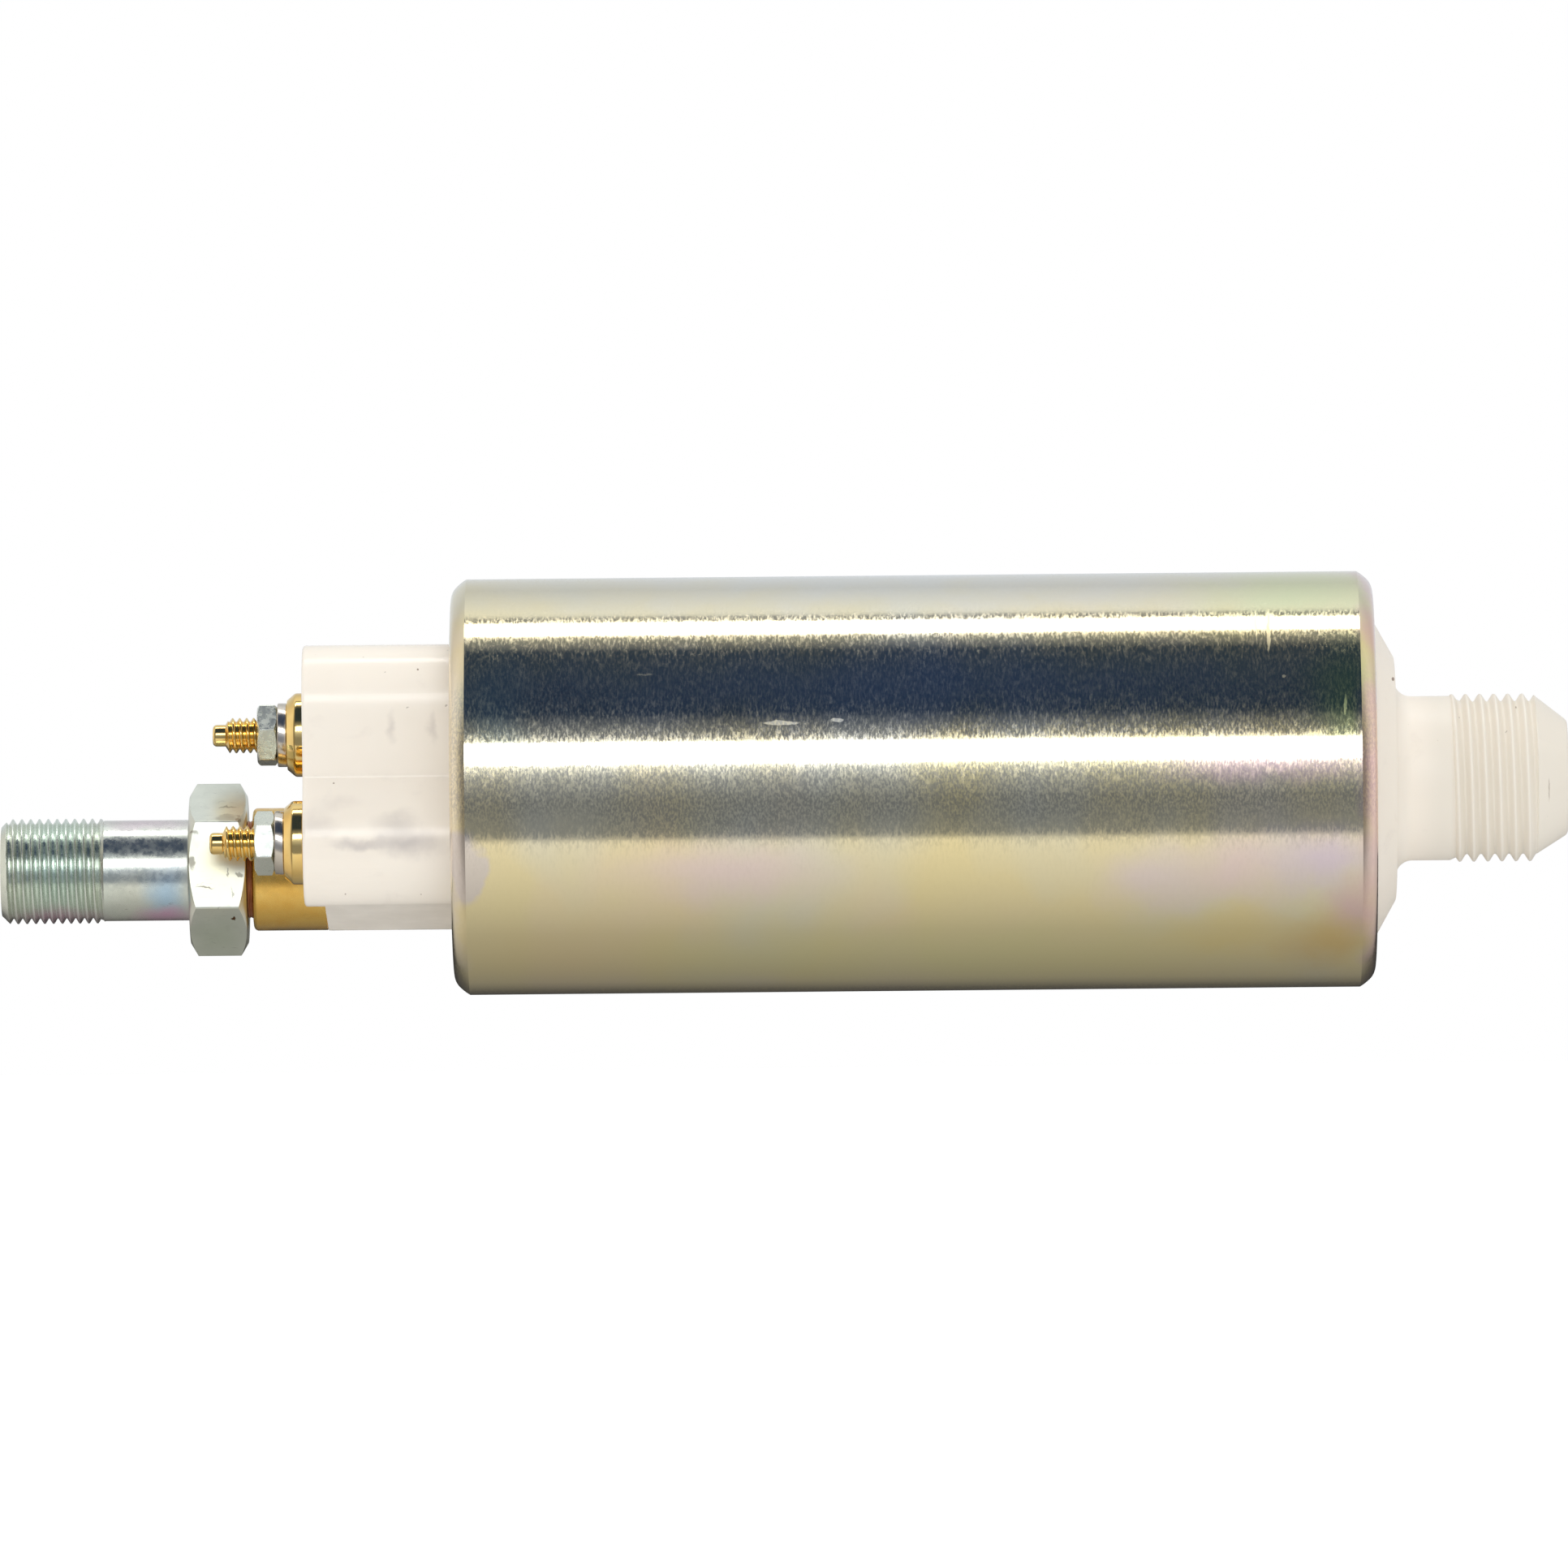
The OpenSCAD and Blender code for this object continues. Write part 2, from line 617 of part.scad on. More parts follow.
module outlet_fitting() {
    root_r = outlet_crest_r - outlet_thread_depth;
    color(zinc) difference() {
        union() {
            turned(outlet_at) {
                intersection() {
                    union() {
                        band(tip_x, shank_x, 0, root_r);
                        thread(outlet_thread_x, outlet_pitch, outlet_crests, outlet_crest_r,
                            outlet_thread_depth);
                    }
                    union() {
                        slope(tip_x, tip_x + outlet_chamfer, outlet_crest_r - outlet_chamfer,
                            outlet_crest_r);
                        band(tip_x + outlet_chamfer, shank_x, 0, outlet_crest_r);
                    }
                }
                band(shank_x - cut, hex_x0 + cut, 0, root_r);
                band(shank_x + shank_relief, hex_x0 + cut, 0, shank_r);
                band(hex_x1 - cut, sleeve_x + stub_relief, 0, sleeve_minor_r - 2 * stub_gap);
                thread(sleeve_x + stub_relief, stub_pitch, stub_crests, stub_crest_r, stub_depth);
            }
            hexagon(hex_x0, hex_len, hex_flats, hex_turn, outlet_at);
        }
        rod(tip_x - cut, tip_x + port_len, port_r, outlet_at);
        rod(tip_x, seat_x, chamber_r, outlet_at);
        rod(seat_x - cut, stub_x + cut, feed_r, outlet_at);
    }
}

module sealing_washer() {
    color(copper) tube(hex_x1, sleeve_x, stub_crest_r + 0.2, seal_washer_r, outlet_at);
}

// The poppet's shoulder meets the retainer when the valve is wide open
module check_valve_poppet() {
    color(gold) turned(outlet_at) {
        band(poppet_head_x, seat_x - fit_gap, 0, poppet_r);
        band(retainer_x1 + valve_travel + fit_gap, poppet_head_x + cut, 0, poppet_stop_r);
        band(retainer_x1 - retainer_len + poppet_tip_gap, poppet_head_x + cut, 0, poppet_stem_r);
    }
}

module check_valve_spring() {
    color(steel) coil(retainer_x1 + fit_gap, poppet_head_x - fit_gap, valve_coil_r, valve_wire_r,
        valve_turns, outlet_at);
}

module check_valve_retainer() {
    color(steel) difference() {
        tube(retainer_x1 - retainer_len + fit_gap, retainer_x1, poppet_stem_r + run_gap,
            chamber_r - fit_gap, outlet_at);
        slab(retainer_x1 - retainer_len - cut, retainer_x1 + cut) translate(outlet_at)
            for (k = [0 : retainer_holes - 1]) rotate(k * 360 / retainer_holes)
                translate([(poppet_stem_r + chamber_r) / 2, 0]) circle(r = retainer_hole_r);
    }
}

module terminal_stud(at) {
    lead = (stud_crest_r - dog_r) / tan(stud_lead_angle);
    color(gold) turned(at) {
        slope(stud_tip_x, stud_tip_x + stud_dog_round, dog_r - stud_dog_round, dog_r);
        band(stud_tip_x + stud_dog_round, stud_thread_x - lead / 2, 0, dog_r);
        slope(stud_thread_x - lead, stud_thread_x, dog_r, stud_crest_r);
        thread(stud_thread_x, stud_pitch, stud_crests, stud_crest_r, stud_thread_depth);
        band(stud_thread_x + cut, stud_seat_x + cut, 0, stud_crest_r - stud_thread_depth);
        band(nut_x - stud_pitch / 5, stud_seat_x + cut / 2, 0, stud_neck_r);
        slope(stud_seat_x, stud_flange_x, flange_face_r, flange_r);
        band(stud_flange_x, face_x - fit_gap, 0, flange_r);
        band(face_x - cut, stud_end_x, 0, stud_stem_r);
    }
}
module terminal_stud_upper() terminal_stud(rear_at);
module terminal_stud_lower() terminal_stud(front_at);

module terminal_seal(at) {
    color(dark) tube(face_x, face_x + terminal_seal_len - fit_gap, stud_stem_r + fit_gap,
        terminal_seal_r, at);
}
module terminal_seal_upper() terminal_seal(rear_at);
module terminal_seal_lower() terminal_seal(front_at);

module terminal_washer(at) {
    color(steel) difference() {
        tube(washer_x, stud_seat_x, washer_bore_r, spring_washer_r, at);
        slab(washer_x - cut, stud_seat_x + cut) translate(at) rotate(washer_slit_turn)
            translate([0, -washer_slit / 2]) square([spring_washer_r + cut, washer_slit]);
    }
}
module terminal_washer_upper() terminal_washer(rear_at);
module terminal_washer_lower() terminal_washer(front_at);

module terminal_nut(at, turn) {
    color(zinc) difference() {
        hexagon(nut_x, nut_len, nut_flats, turn, at);
        rod(nut_x - cut, washer_x + cut, nut_bore_r, at);
    }
}
module terminal_nut_upper() terminal_nut(rear_at, nut_turn_upper);
module terminal_nut_lower() terminal_nut(front_at, nut_turn_lower);

module at_brushes() for (side = [-1, 1]) translate([0, side * brush_at, 0]) children();

module brush_holder() {
    outer = brush_w + 2 * (slide_gap + guide_wall);
    inner = brush_w + 2 * slide_gap;
    color([0.25, 0.2, 0.17]) difference() {
        union() {
            slab(holder_ledge_x + fit_gap, holder_ledge_x + holder_len) circle(r = holder_r);
            slab(guide_x0, guide_x1) at_brushes() square(outer, center = true);
        }
        slab(guide_x0 + guide_wall, guide_x1 + cut) at_brushes() square(inner, center = true);
        rod(guide_x0, guide_x1, cap_boss_r + 2 * fit_gap);
        for (at = [front_at, rear_at]) rod(guide_x0, guide_x1, choke_r + fit_gap, at);
        for (side = [-1, 1]) rod(guide_x0, guide_x1, holder_vent_r, [side * holder_vent_across, 0]);
    }
}

module brush(side) {
    color([0.24, 0.24, 0.25]) translate([0, 0, side * brush_at])
        slab(guide_x1 + brush_out - brush_len, guide_x1 + brush_out) square(brush_w, center = true);
}
module brush_upper() brush(1);
module brush_lower() brush(-1);

module brush_spring(side) {
    color(steel) coil(guide_x0 + guide_wall + fit_gap, guide_x1 + brush_out - brush_len - fit_gap,
        brush_coil_r, brush_wire_r, brush_turns, [0, side * brush_at]);
}
module brush_spring_upper() brush_spring(1);
module brush_spring_lower() brush_spring(-1);

module choke_core(at) {
    color(dark) rod(stud_end_x + fit_gap, holder_ledge_x + holder_len + choke_end_gap, choke_r, at);
}
module choke_core_upper() choke_core(rear_at);
module choke_core_lower() choke_core(front_at);

module choke_coil(at) {
    color(copper) coil(stud_end_x + choke_coil_gap, holder_ledge_x - choke_coil_gap, choke_coil_r,
        choke_wire_r, choke_turns, at);
}
module choke_coil_upper() choke_coil(rear_at);
module choke_coil_lower() choke_coil(front_at);

module bush(x, len) color([0.7, 0.6, 0.4]) tube(x, x + len, shaft_r + run_gap, bush_r);
module bearing_bush_outlet() bush(outlet_bush_x + fit_gap, outlet_bush_len - fit_gap);
module bearing_bush_pump() bush(pump_bush_x, pump_bush_len);

// Magnet arc, from its middle direction
module magnet(middle) {
    color(dark) along_x([0, 0], stack_x0 - magnet_overhang) rotate([0, 0, middle - magnet_span / 2])
        rotate_extrude(angle = magnet_span) translate([magnet_r0, 0])
            square([magnet_thick, stack_x1 - stack_x0 + 2 * magnet_overhang]);
}
module magnet_front() magnet(180);
module magnet_rear() magnet(0);

module magnet_clips() {
    clip_span = 180 - magnet_span - 2 * clip_gap_angle;
    for (middle = [90, 270]) color(steel) along_x([0, 0], stack_x0 - magnet_overhang)
        rotate([0, 0, middle - clip_span / 2]) rotate_extrude(angle = clip_span)
            translate([magnet_r1 - clip_thick, 0])
                square([clip_thick, stack_x1 - stack_x0 + 2 * magnet_overhang]);
}

module armature_shaft() {
    color(steel) difference() {
        rod(shaft_x0, shaft_x1, shaft_r);
        translate([shaft_x1 - drive_len, -shaft_r, shaft_r - shaft_flat])
            cube([drive_len + cut, 2 * shaft_r, shaft_r]);
    }
}

// Armature section: poles with wide tips between open slots
module slot_outline(shrink = 0) {
    r0 = slot_r0 + shrink;
    r1 = stack_r - tip_len - shrink;
    half = 180 / slots;
    side = pole_w / 2 + shrink;
    polygon([for (end = [[r0, -1], [r1, -1], [r1, 1], [r0, 1]])
        let (turn = half - asin(side / end[0])) end[0] * [cos(turn), end[1] * sin(turn)]]);
}
module at_slots() for (k = [0 : slots - 1]) rotate((k + 0.5) * 360 / slots) children();
module stack_outline() {
    difference() {
        circle(r = stack_r);
        circle(r = shaft_r + fit_gap);
        at_slots() slot_outline();
        at_slots() translate([slot_r0 + cut, -slot_mouth / 2]) square([stack_r, slot_mouth]);
    }
}
module lamination_stack() color(steel) slab(stack_x0, stack_x1) stack_outline();
module slot_insulator_outlet() {
    color([0.2, 0.4, 0.3]) slab(stack_x0 - insulator_len, stack_x0 - fit_gap) stack_outline();
}
module slot_insulator_pump() {
    color([0.2, 0.4, 0.3]) slab(stack_x1 + fit_gap, stack_x1 + insulator_len) stack_outline();
}

// Each winding head is a thick ring, and the slot fillings join the two
module winding_head(x) {
    turned() {
        band(x, x + winding_len, slot_r0, winding_r - winding_corner);
        band(x + winding_corner, x + winding_len - winding_corner, slot_r0, winding_r);
        for (side = [x + winding_corner, x + winding_len - winding_corner])
            translate([winding_r - winding_corner, side]) circle(r = winding_corner);
    }
}
module armature_winding() {
    color(copper) {
        winding_head(stack_x0 - insulator_len - fit_gap - winding_len);
        winding_head(stack_x1 + insulator_len + fit_gap);
        slab(stack_x0 - insulator_len - cut, stack_x1 + insulator_len + cut)
            at_slots() slot_outline(slot_lining);
    }
}

module commutator_hub() {
    color([0.3, 0.2, 0.15]) turned() {
        band(segment_x1 + fit_gap, commutator_x1, shaft_r + fit_gap, commutator_r);
        band(commutator_x + commutator_recess, segment_x1 + cut, shaft_r + fit_gap, commutator_sleeve_r);
    }
}

module commutator_segments() {
    color(copper) slab(commutator_x, segment_x1) difference() {
        circle(r = commutator_r);
        circle(r = commutator_sleeve_r + fit_gap);
        for (k = [0 : slots - 1]) rotate(k * 360 / slots) translate([0, -segment_slit / 2])
            square([commutator_r + cut, segment_slit]);
    }
}

// Curved port cut into a plate, on the side that faces the rotors
module port(x0, x1, middle) {
    along_x([0, 0], x0) rotate([0, 0, middle - port_half_angle])
        rotate_extrude(angle = 2 * port_half_angle) translate([port_in_r, 0])
            square([port_out_r - port_in_r, x1 - x0]);
}

module at_screws() {
    for (k = [0 : screws - 1]) rotate(first_screw_turn + k * 360 / screws)
        translate([screw_at, 0]) children();
}

module outlet_plate() {
    color([0.8, 0.8, 0.82]) difference() {
        union() {
            rod(outlet_plate_x, rotor_x, piece_r);
            rod(outlet_plate_x - plate_boss_len, outlet_plate_x + cut, plate_boss_r);
        }
        rod(outlet_plate_x - plate_boss_len - cut, rotor_x + cut, shaft_r + plate_bore_gap);
        rod(outlet_plate_x - plate_boss_len - cut, pump_bush_x + pump_bush_len, bush_r + fit_gap);
        port(outlet_plate_x - cut, rotor_x + cut, 90);
        slab(outlet_plate_x + screw_end_cover, rotor_x + cut) at_screws() circle(r = screw_r + fit_gap);
        rod(outlet_plate_x - cut, rotor_x + cut, relief_feed_r, relief_at);
    }
}

module pump_ring() {
    color([0.7, 0.7, 0.72]) difference() {
        rod(rotor_x + fit_gap, inlet_plate_x - fit_gap, piece_r);
        rod(rotor_x - cut, inlet_plate_x + cut, outer_rotor_r + rotor_gap, [-rotor_offset, 0]);
        slab(rotor_x - cut, inlet_plate_x + cut) at_screws() circle(r = screw_r + slide_gap);
        rod(rotor_x - cut, inlet_plate_x + cut, relief_feed_r, relief_at);
    }
}

// Outline of the inner rotor: the curve that the outer rotor's round lobes roll along
function rotor_point(turn) =
    let (ratio = lobe_circle_r / (rotor_offset * rotor_lobes), back = (1 - rotor_lobes) * turn,
        lean = atan2(sin(back), ratio - cos(back)), out = lobe_circle_r, r = inner_rotor_lobe_r)
    [out * cos(turn) - r * cos(turn + lean) - rotor_offset * cos(rotor_lobes * turn),
        r * sin(turn + lean) - out * sin(turn) + rotor_offset * sin(rotor_lobes * turn)];

// Crowds the points into the rotor's valleys, where the curve runs fastest
function rotor_turn(turn) =
    turn - valley_crowding / (rotor_lobes - 1) * sin((rotor_lobes - 1) * turn);

module inner_rotor() {
    color(steel) slab(rotor_x + rotor_side_gap, inlet_plate_x - rotor_side_gap) difference() {
        polygon([for (k = [0 : rotor_points - 1]) rotor_point(rotor_turn(k * 360 / rotor_points))]);
        difference() {
            circle(r = shaft_r + fit_gap);
            translate([-shaft_r - cut, shaft_r - shaft_flat + fit_gap])
                square([2 * (shaft_r + cut), shaft_r]);
        }
    }
}

module outer_rotor() {
    color(steel) slab(rotor_x + rotor_side_gap, inlet_plate_x - rotor_side_gap)
        translate([-rotor_offset, 0]) difference() {
            circle(r = outer_rotor_r);
            difference() {
                circle(r = outer_rotor_root_r);
                for (k = [0 : rotor_lobes - 1]) rotate(k * 360 / rotor_lobes)
                    translate([lobe_circle_r, 0]) circle(r = lobe_r);
            }
        }
}

module inlet_plate() {
    color([0.8, 0.8, 0.82]) difference() {
        rod(inlet_plate_x, inlet_x0 - fit_gap, piece_r);
        port(inlet_plate_x - cut, inlet_x0 + cut, 270);
        slab(inlet_plate_x - cut, inlet_x0 + cut) at_screws() circle(r = screw_r + slide_gap);
        slab(inlet_x0 - screw_head_len - fit_gap, inlet_x0 + cut)
            at_screws() circle(r = screw_head_r + fit_gap);
        rod(inlet_plate_x - cut, inlet_x0, relief_feed_r, relief_at);
        rod(inlet_plate_x + relief_seat_len, inlet_x0 + cut, relief_bore_r, relief_at);
    }
}

module pump_screws() {
    socket_x = inlet_x0 - screw_socket_depth;
    color(zinc) difference() {
        union() {
            slab(outlet_plate_x + screw_end_cover + screw_tip_gap, inlet_x0 - 2 * fit_gap)
                at_screws() circle(r = screw_r);
            slab(inlet_x0 - screw_head_len, inlet_x0 - 2 * fit_gap) at_screws() circle(r = screw_head_r);
        }
        slab(socket_x, inlet_x0 + cut) at_screws() circle(r = screw_socket_r, $fn = 6);
    }
}

module relief_ball() {
    color(steel) translate([relief_ball_x, relief_at[0], relief_at[1]]) sphere(r = relief_ball_r);
}
module relief_spring() {
    color(steel) coil(relief_ball_x + relief_ball_r + fit_gap, relief_plug_x - fit_gap, relief_coil_r,
        relief_wire_r, relief_turns, relief_at);
}
module relief_plug() {
    color(gold) tube(relief_plug_x, inlet_x0 - 2 * fit_gap, relief_plug_bore_r,
        relief_bore_r - fit_gap, relief_at);
}

module inlet_strainer() {
    strainer_x1 = inlet_x0 + strainer_pocket;
    rows = floor(strainer_r / strainer_hole_step);
    color(steel) slab(strainer_x1 - strainer_len, strainer_x1 - fit_gap) difference() {
        circle(r = strainer_r);
        for (i = [-rows : rows], j = [-rows : rows])
            if (norm([i, j]) * strainer_hole_step < strainer_r - strainer_rim)
                translate([i, j] * strainer_hole_step) circle(r = strainer_hole_r);
    }
}

housing_tube();
outlet_end_cap();
inlet_end_cap();
outlet_cap_seal();
inlet_cap_seal();
outlet_insert();
outlet_fitting();
sealing_washer();
check_valve_poppet();
check_valve_spring();
check_valve_retainer();
terminal_stud_upper();
terminal_stud_lower();
terminal_seal_upper();
terminal_seal_lower();
terminal_washer_upper();
terminal_washer_lower();
terminal_nut_upper();
terminal_nut_lower();
brush_holder();
brush_upper();
brush_lower();
brush_spring_upper();
brush_spring_lower();
choke_core_upper();
choke_core_lower();
choke_coil_upper();
choke_coil_lower();
bearing_bush_outlet();
bearing_bush_pump();
magnet_front();
magnet_rear();
magnet_clips();
armature_shaft();
lamination_stack();
slot_insulator_outlet();
slot_insulator_pump();
armature_winding();
commutator_hub();
commutator_segments();
outlet_plate();
pump_ring();
inner_rotor();
outer_rotor();
inlet_plate();
pump_screws();
relief_ball();
relief_spring();
relief_plug();
inlet_strainer();
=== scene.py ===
import json
import math

import bmesh
import bpy
from mathutils import Matrix, Vector

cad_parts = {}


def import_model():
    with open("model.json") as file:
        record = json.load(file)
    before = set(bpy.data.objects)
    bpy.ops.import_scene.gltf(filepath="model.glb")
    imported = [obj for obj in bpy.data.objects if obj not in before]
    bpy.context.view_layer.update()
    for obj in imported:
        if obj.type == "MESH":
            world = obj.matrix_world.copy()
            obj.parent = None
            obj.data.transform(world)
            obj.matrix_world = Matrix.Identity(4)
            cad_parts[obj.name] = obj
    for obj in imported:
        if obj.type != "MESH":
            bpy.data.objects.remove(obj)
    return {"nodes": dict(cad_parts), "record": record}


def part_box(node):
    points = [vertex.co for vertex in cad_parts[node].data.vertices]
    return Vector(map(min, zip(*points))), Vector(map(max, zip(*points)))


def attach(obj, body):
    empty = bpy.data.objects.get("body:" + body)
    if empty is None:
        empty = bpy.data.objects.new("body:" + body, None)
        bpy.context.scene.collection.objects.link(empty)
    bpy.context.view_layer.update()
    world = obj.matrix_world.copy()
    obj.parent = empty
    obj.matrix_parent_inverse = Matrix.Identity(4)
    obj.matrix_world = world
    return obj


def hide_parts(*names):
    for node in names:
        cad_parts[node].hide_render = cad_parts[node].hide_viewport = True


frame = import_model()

# Looks of the inline fuel pump. The frame is in metres, +X towards the inlet and +Z up.
# Meshes are worked out in millimetres and scaled by MM.
MM = 0.001
TURN = 2 * math.pi

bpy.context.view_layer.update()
mounts = {m["name"]: m for m in frame["record"]["mounts"]}


def low(node):
    """Lowest corner of a node, in millimetres."""
    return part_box(node)[0] / MM


def high(node):
    """Highest corner of a node, in millimetres."""
    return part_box(node)[1] / MM


def mount_place(name):
    """Place of a mount across and up, in millimetres."""
    return Vector(mounts[name]["pos_m"][1:]) / MM


def mount_size(name, key="r_mm"):
    return mounts[name]["dims"][key]


# Places that come from the frame
AXIS = Vector((0, 0))
OUTLET = mount_place("outlet_thread")
REAR = mount_place("terminal_stud_upper")
FRONT = mount_place("terminal_stud_lower")
TUBE_X0, TUBE_X1 = low("housing_tube").x, high("housing_tube").x
TUBE_R = -low("housing_tube").y
CAP_FACE_X = low("outlet_end_cap").x
CAP_END_X = high("outlet_end_cap").x
CAP_R = high("outlet_end_cap").y
SLEEVE_X0 = low("outlet_insert").x
SLEEVE_R = (high("outlet_insert").y - low("outlet_insert").y) / 2
INLET_X0, INLET_X1 = low("inlet_end_cap").x, high("inlet_end_cap").x
FITTING_X0 = low("outlet_fitting").x
HEX_X1 = low("sealing_washer").x
STUD_X0, STUD_X1 = low("terminal_stud_upper").x, high("terminal_stud_upper").x
STUD_FLANGE_R = (high("terminal_stud_upper").y - low("terminal_stud_upper").y) / 2
NUT_X0, NUT_X1 = low("terminal_nut_upper").x, high("terminal_nut_upper").x
WASHER_X1 = high("terminal_washer_upper").x
WASHER_R = (high("terminal_washer_upper").y - low("terminal_washer_upper").y) / 2

# Gap between seated pieces
GAP = 0.03
# Radius of the fine hole that keeps a turned solid open on its axis
CORE_R = 0.01
# Angle between faces above which an edge is drawn sharp
SHARP = 32

# Housing
WALL = 1.5
RIM_SLOPES = (30, 45, 85)
RIM_BENDS = (5.6, 2.0)
OUTLET_OPENING_R = 18.96
INLET_OPENING_R = 18.2

# Outlet cap
CORNER = Vector((-6, 9.15))
LOBE_R = 7.2
CORNER_R = 7.0
BOSS_R = 7.0
BOSS_SETBACK = 2.3
CREASE_R = 0.6
UPPER_WALL_TILT = math.radians(12)
LOWER_WALL_TILT = math.radians(25)
CAP_EDGE = 0.4
BOSS_EDGE = 0.08
# How much smaller the outline with the boss is, so that it shares no wall with the cap's nose
BOSS_INSET = 0.004
CAP_WALL = 4.0
CAP_FLANGE = 7.0
CAP_SHOULDER = 2.4
CAP_SKIRT_R = 18.57
CAP_SKIRT_WALL = 1.6
# Bevel of both caps' flanges
FLANGE_BEVEL = 0.3

# Inlet cap
INLET_CONE_R = 18.0
INLET_FACE_R = 13.6
INLET_FACE_OUT = 2.4
INLET_FACE_EDGE = 0.7
CHAMBER_R = 12.03
NECK_R = 9.28
NECK_LEN = 6.2
NECK_FILLET = 1.9
INLET_CREST_R = mount_size("inlet_thread")
INLET_DEPTH = 0.87
INLET_PITCH = 1.5875
INLET_TURNS = 6.2
# Place of one crest on the inlet thread's upper edge
INLET_CREST_X = 60.91
INLET_TIP_R = 6.3
# Rounding of the conical tip's end: how far back from the end and how far out from the tip's radius
INLET_TIP_ROUND = [(0.25, 0.3), (0.07, 0.1), (0, -0.1)]
INLET_BORE_BEVEL = 0.3
INLET_BORE_R = mount_size("inlet_port")

# Outlet fitting
OUTLET_CREST_R = mount_size("outlet_thread")
OUTLET_DEPTH = 0.6
OUTLET_PITCH = 1.0
OUTLET_CHAMFER = 0.9
# Place of one crest on the outlet thread's upper edge
OUTLET_CREST_X = -102.1
SHANK_R = 5.7
SHANK_LEN = 9.7
HEX_LEN = 6.5
HEX_FLATS = 17.0
HEX_CORNER = math.radians(26.0)
PORT_R = mount_size("outlet_port")
PORT_LEN = mount_size("outlet_port", "length_mm")
PORT_BEVEL = 0.35
STUB_R = 4.0
STUB_LEN = 1.0
SLEEVE_BORE_R = 4.02
SLEEVE_EDGE = 0.55
SEAL_BORE_R = 4.15

# Terminals
STUD_R = mount_size("terminal_stud_upper")
STUD_PITCH = 0.79375
STUD_DEPTH = 0.42
STUD_CRESTS = 4
STUD_STEM_R = 2.2
STUD_SEAT_R = 1.8
DOG_R = 1.23
DOG_EDGE = 0.45
# Length and steepness of the cone between the dog point and the thread
DOG_CONE = 0.46
DOG_CONE_SLOPE = 1.66
FLANGE_FACE_R = 4.02
FLANGE_SLOPE = 0.85
NUT_FLATS = 6.35
NUT_BORE_R = 2.03
NUT_BEVEL = 0.2
WASHER_BORE_R = 2.12
UPPER_NUT_CORNER = math.radians(10.4)
LOWER_NUT_CORNER = math.radians(34)


def srgb(red, green, blue):
    """Linear colour of an sRGB colour given from 0 to 255."""
    def linear(value):
        value /= 255
        return value / 12.92 if value <= 0.04045 else ((value + 0.055) / 1.055) ** 2.4
    return (linear(red), linear(green), linear(blue), 1)


def grey(value):
    """A value as a colour."""
    return (value, value, value, 1)


def arc(center, radius, start, end, steps):
    """Points of an arc, its angles in degrees."""
    turns = [math.radians(start + (end - start) * k / steps) for k in range(steps + 1)]
    return [(center[0] + radius * math.cos(t), center[1] + radius * math.sin(t)) for t in turns]


def part_way(x, start, end):
    """How far x lies on the way from start to end, held between 0 and 1."""
    return min(max((x - start) / (end - start), 0), 1)


def join(bm, first, second):
    """Joins two closed rings of points by a band of faces."""
    for k, here in enumerate(second):
        bm.faces.new((first[k - 1], first[k], here, second[k - 1]))


class Turned:
    """A solid turned about a line along X: rings of points joined by faces, and helical threads."""

    def __init__(self, at, columns=160, corner=0.0, crowding=0.0):
        self.bm = bmesh.new()
        self.at = at
        self.last = None
        sector = TURN / 6
        self.turns = []
        for k in range(columns):
            side, part = divmod(6 * k / columns, 1)
            part -= crowding * math.sin(TURN * part) / TURN
            self.turns.append(corner + sector * (side + part))

    def vert(self, x, r, turn):
        x = x(turn) if callable(x) else x
        r = r(turn) if callable(r) else r
        place = (x, self.at[0] + r * math.cos(turn), self.at[1] + r * math.sin(turn))
        return self.bm.verts.new(Vector(place) * MM)

    def ring(self, x, r):
        """One ring, joined to the ring before it. x and r are numbers or functions of the angle."""
        verts = [self.vert(x, r, turn) for turn in self.turns]
        if self.last:
            join(self.bm, self.last, verts)
        self.last = verts

    def rings(self, points):
        for x, r in points:
            self.ring(x, r)

    def thread(self, x0, x1, pitch, radius, rows):
        """A right-hand thread from x0 to x1, with rows along the helix, as many in each pitch.

        radius is a function of x and the angle."""
        self.ring(x0, lambda turn: radius(x0, turn))
        count = len(self.turns)
        first = self.turns[0]
        last_row = math.ceil((x1 - x0) / pitch * rows) + rows
        grid = []
        for i in range(-rows, last_row + rows + 1):
            line = []
            for turn in self.turns:
                x = x0 + pitch * (i / rows + (turn - first) / TURN)
                x = min(max(x, x0), x1)
                line.append(self.vert(x, radius(x, turn), turn))
            grid.append(line)
        for i in range(len(grid) - rows - 1):
            for j in range(count):
                if j < count - 1:
                    near, far = (grid[i][j], grid[i + 1][j]), (grid[i][j + 1], grid[i + 1][j + 1])
                else:
                    near = (grid[i][j], grid[i + 1][j])
                    far = (grid[i + rows][0], grid[i + rows + 1][0])
                self.bm.faces.new((near[0], far[0], far[1], near[1]))
        self.last = None
        self.ring(x1, lambda turn: radius(x1, turn))

    def close(self, name, sharp=SHARP):
        """Joins the last ring to the first and makes the object."""
        first = list(self.bm.verts)[:len(self.turns)]
        join(self.bm, self.last, first)
        return finish_mesh(self.bm, name, sharp)


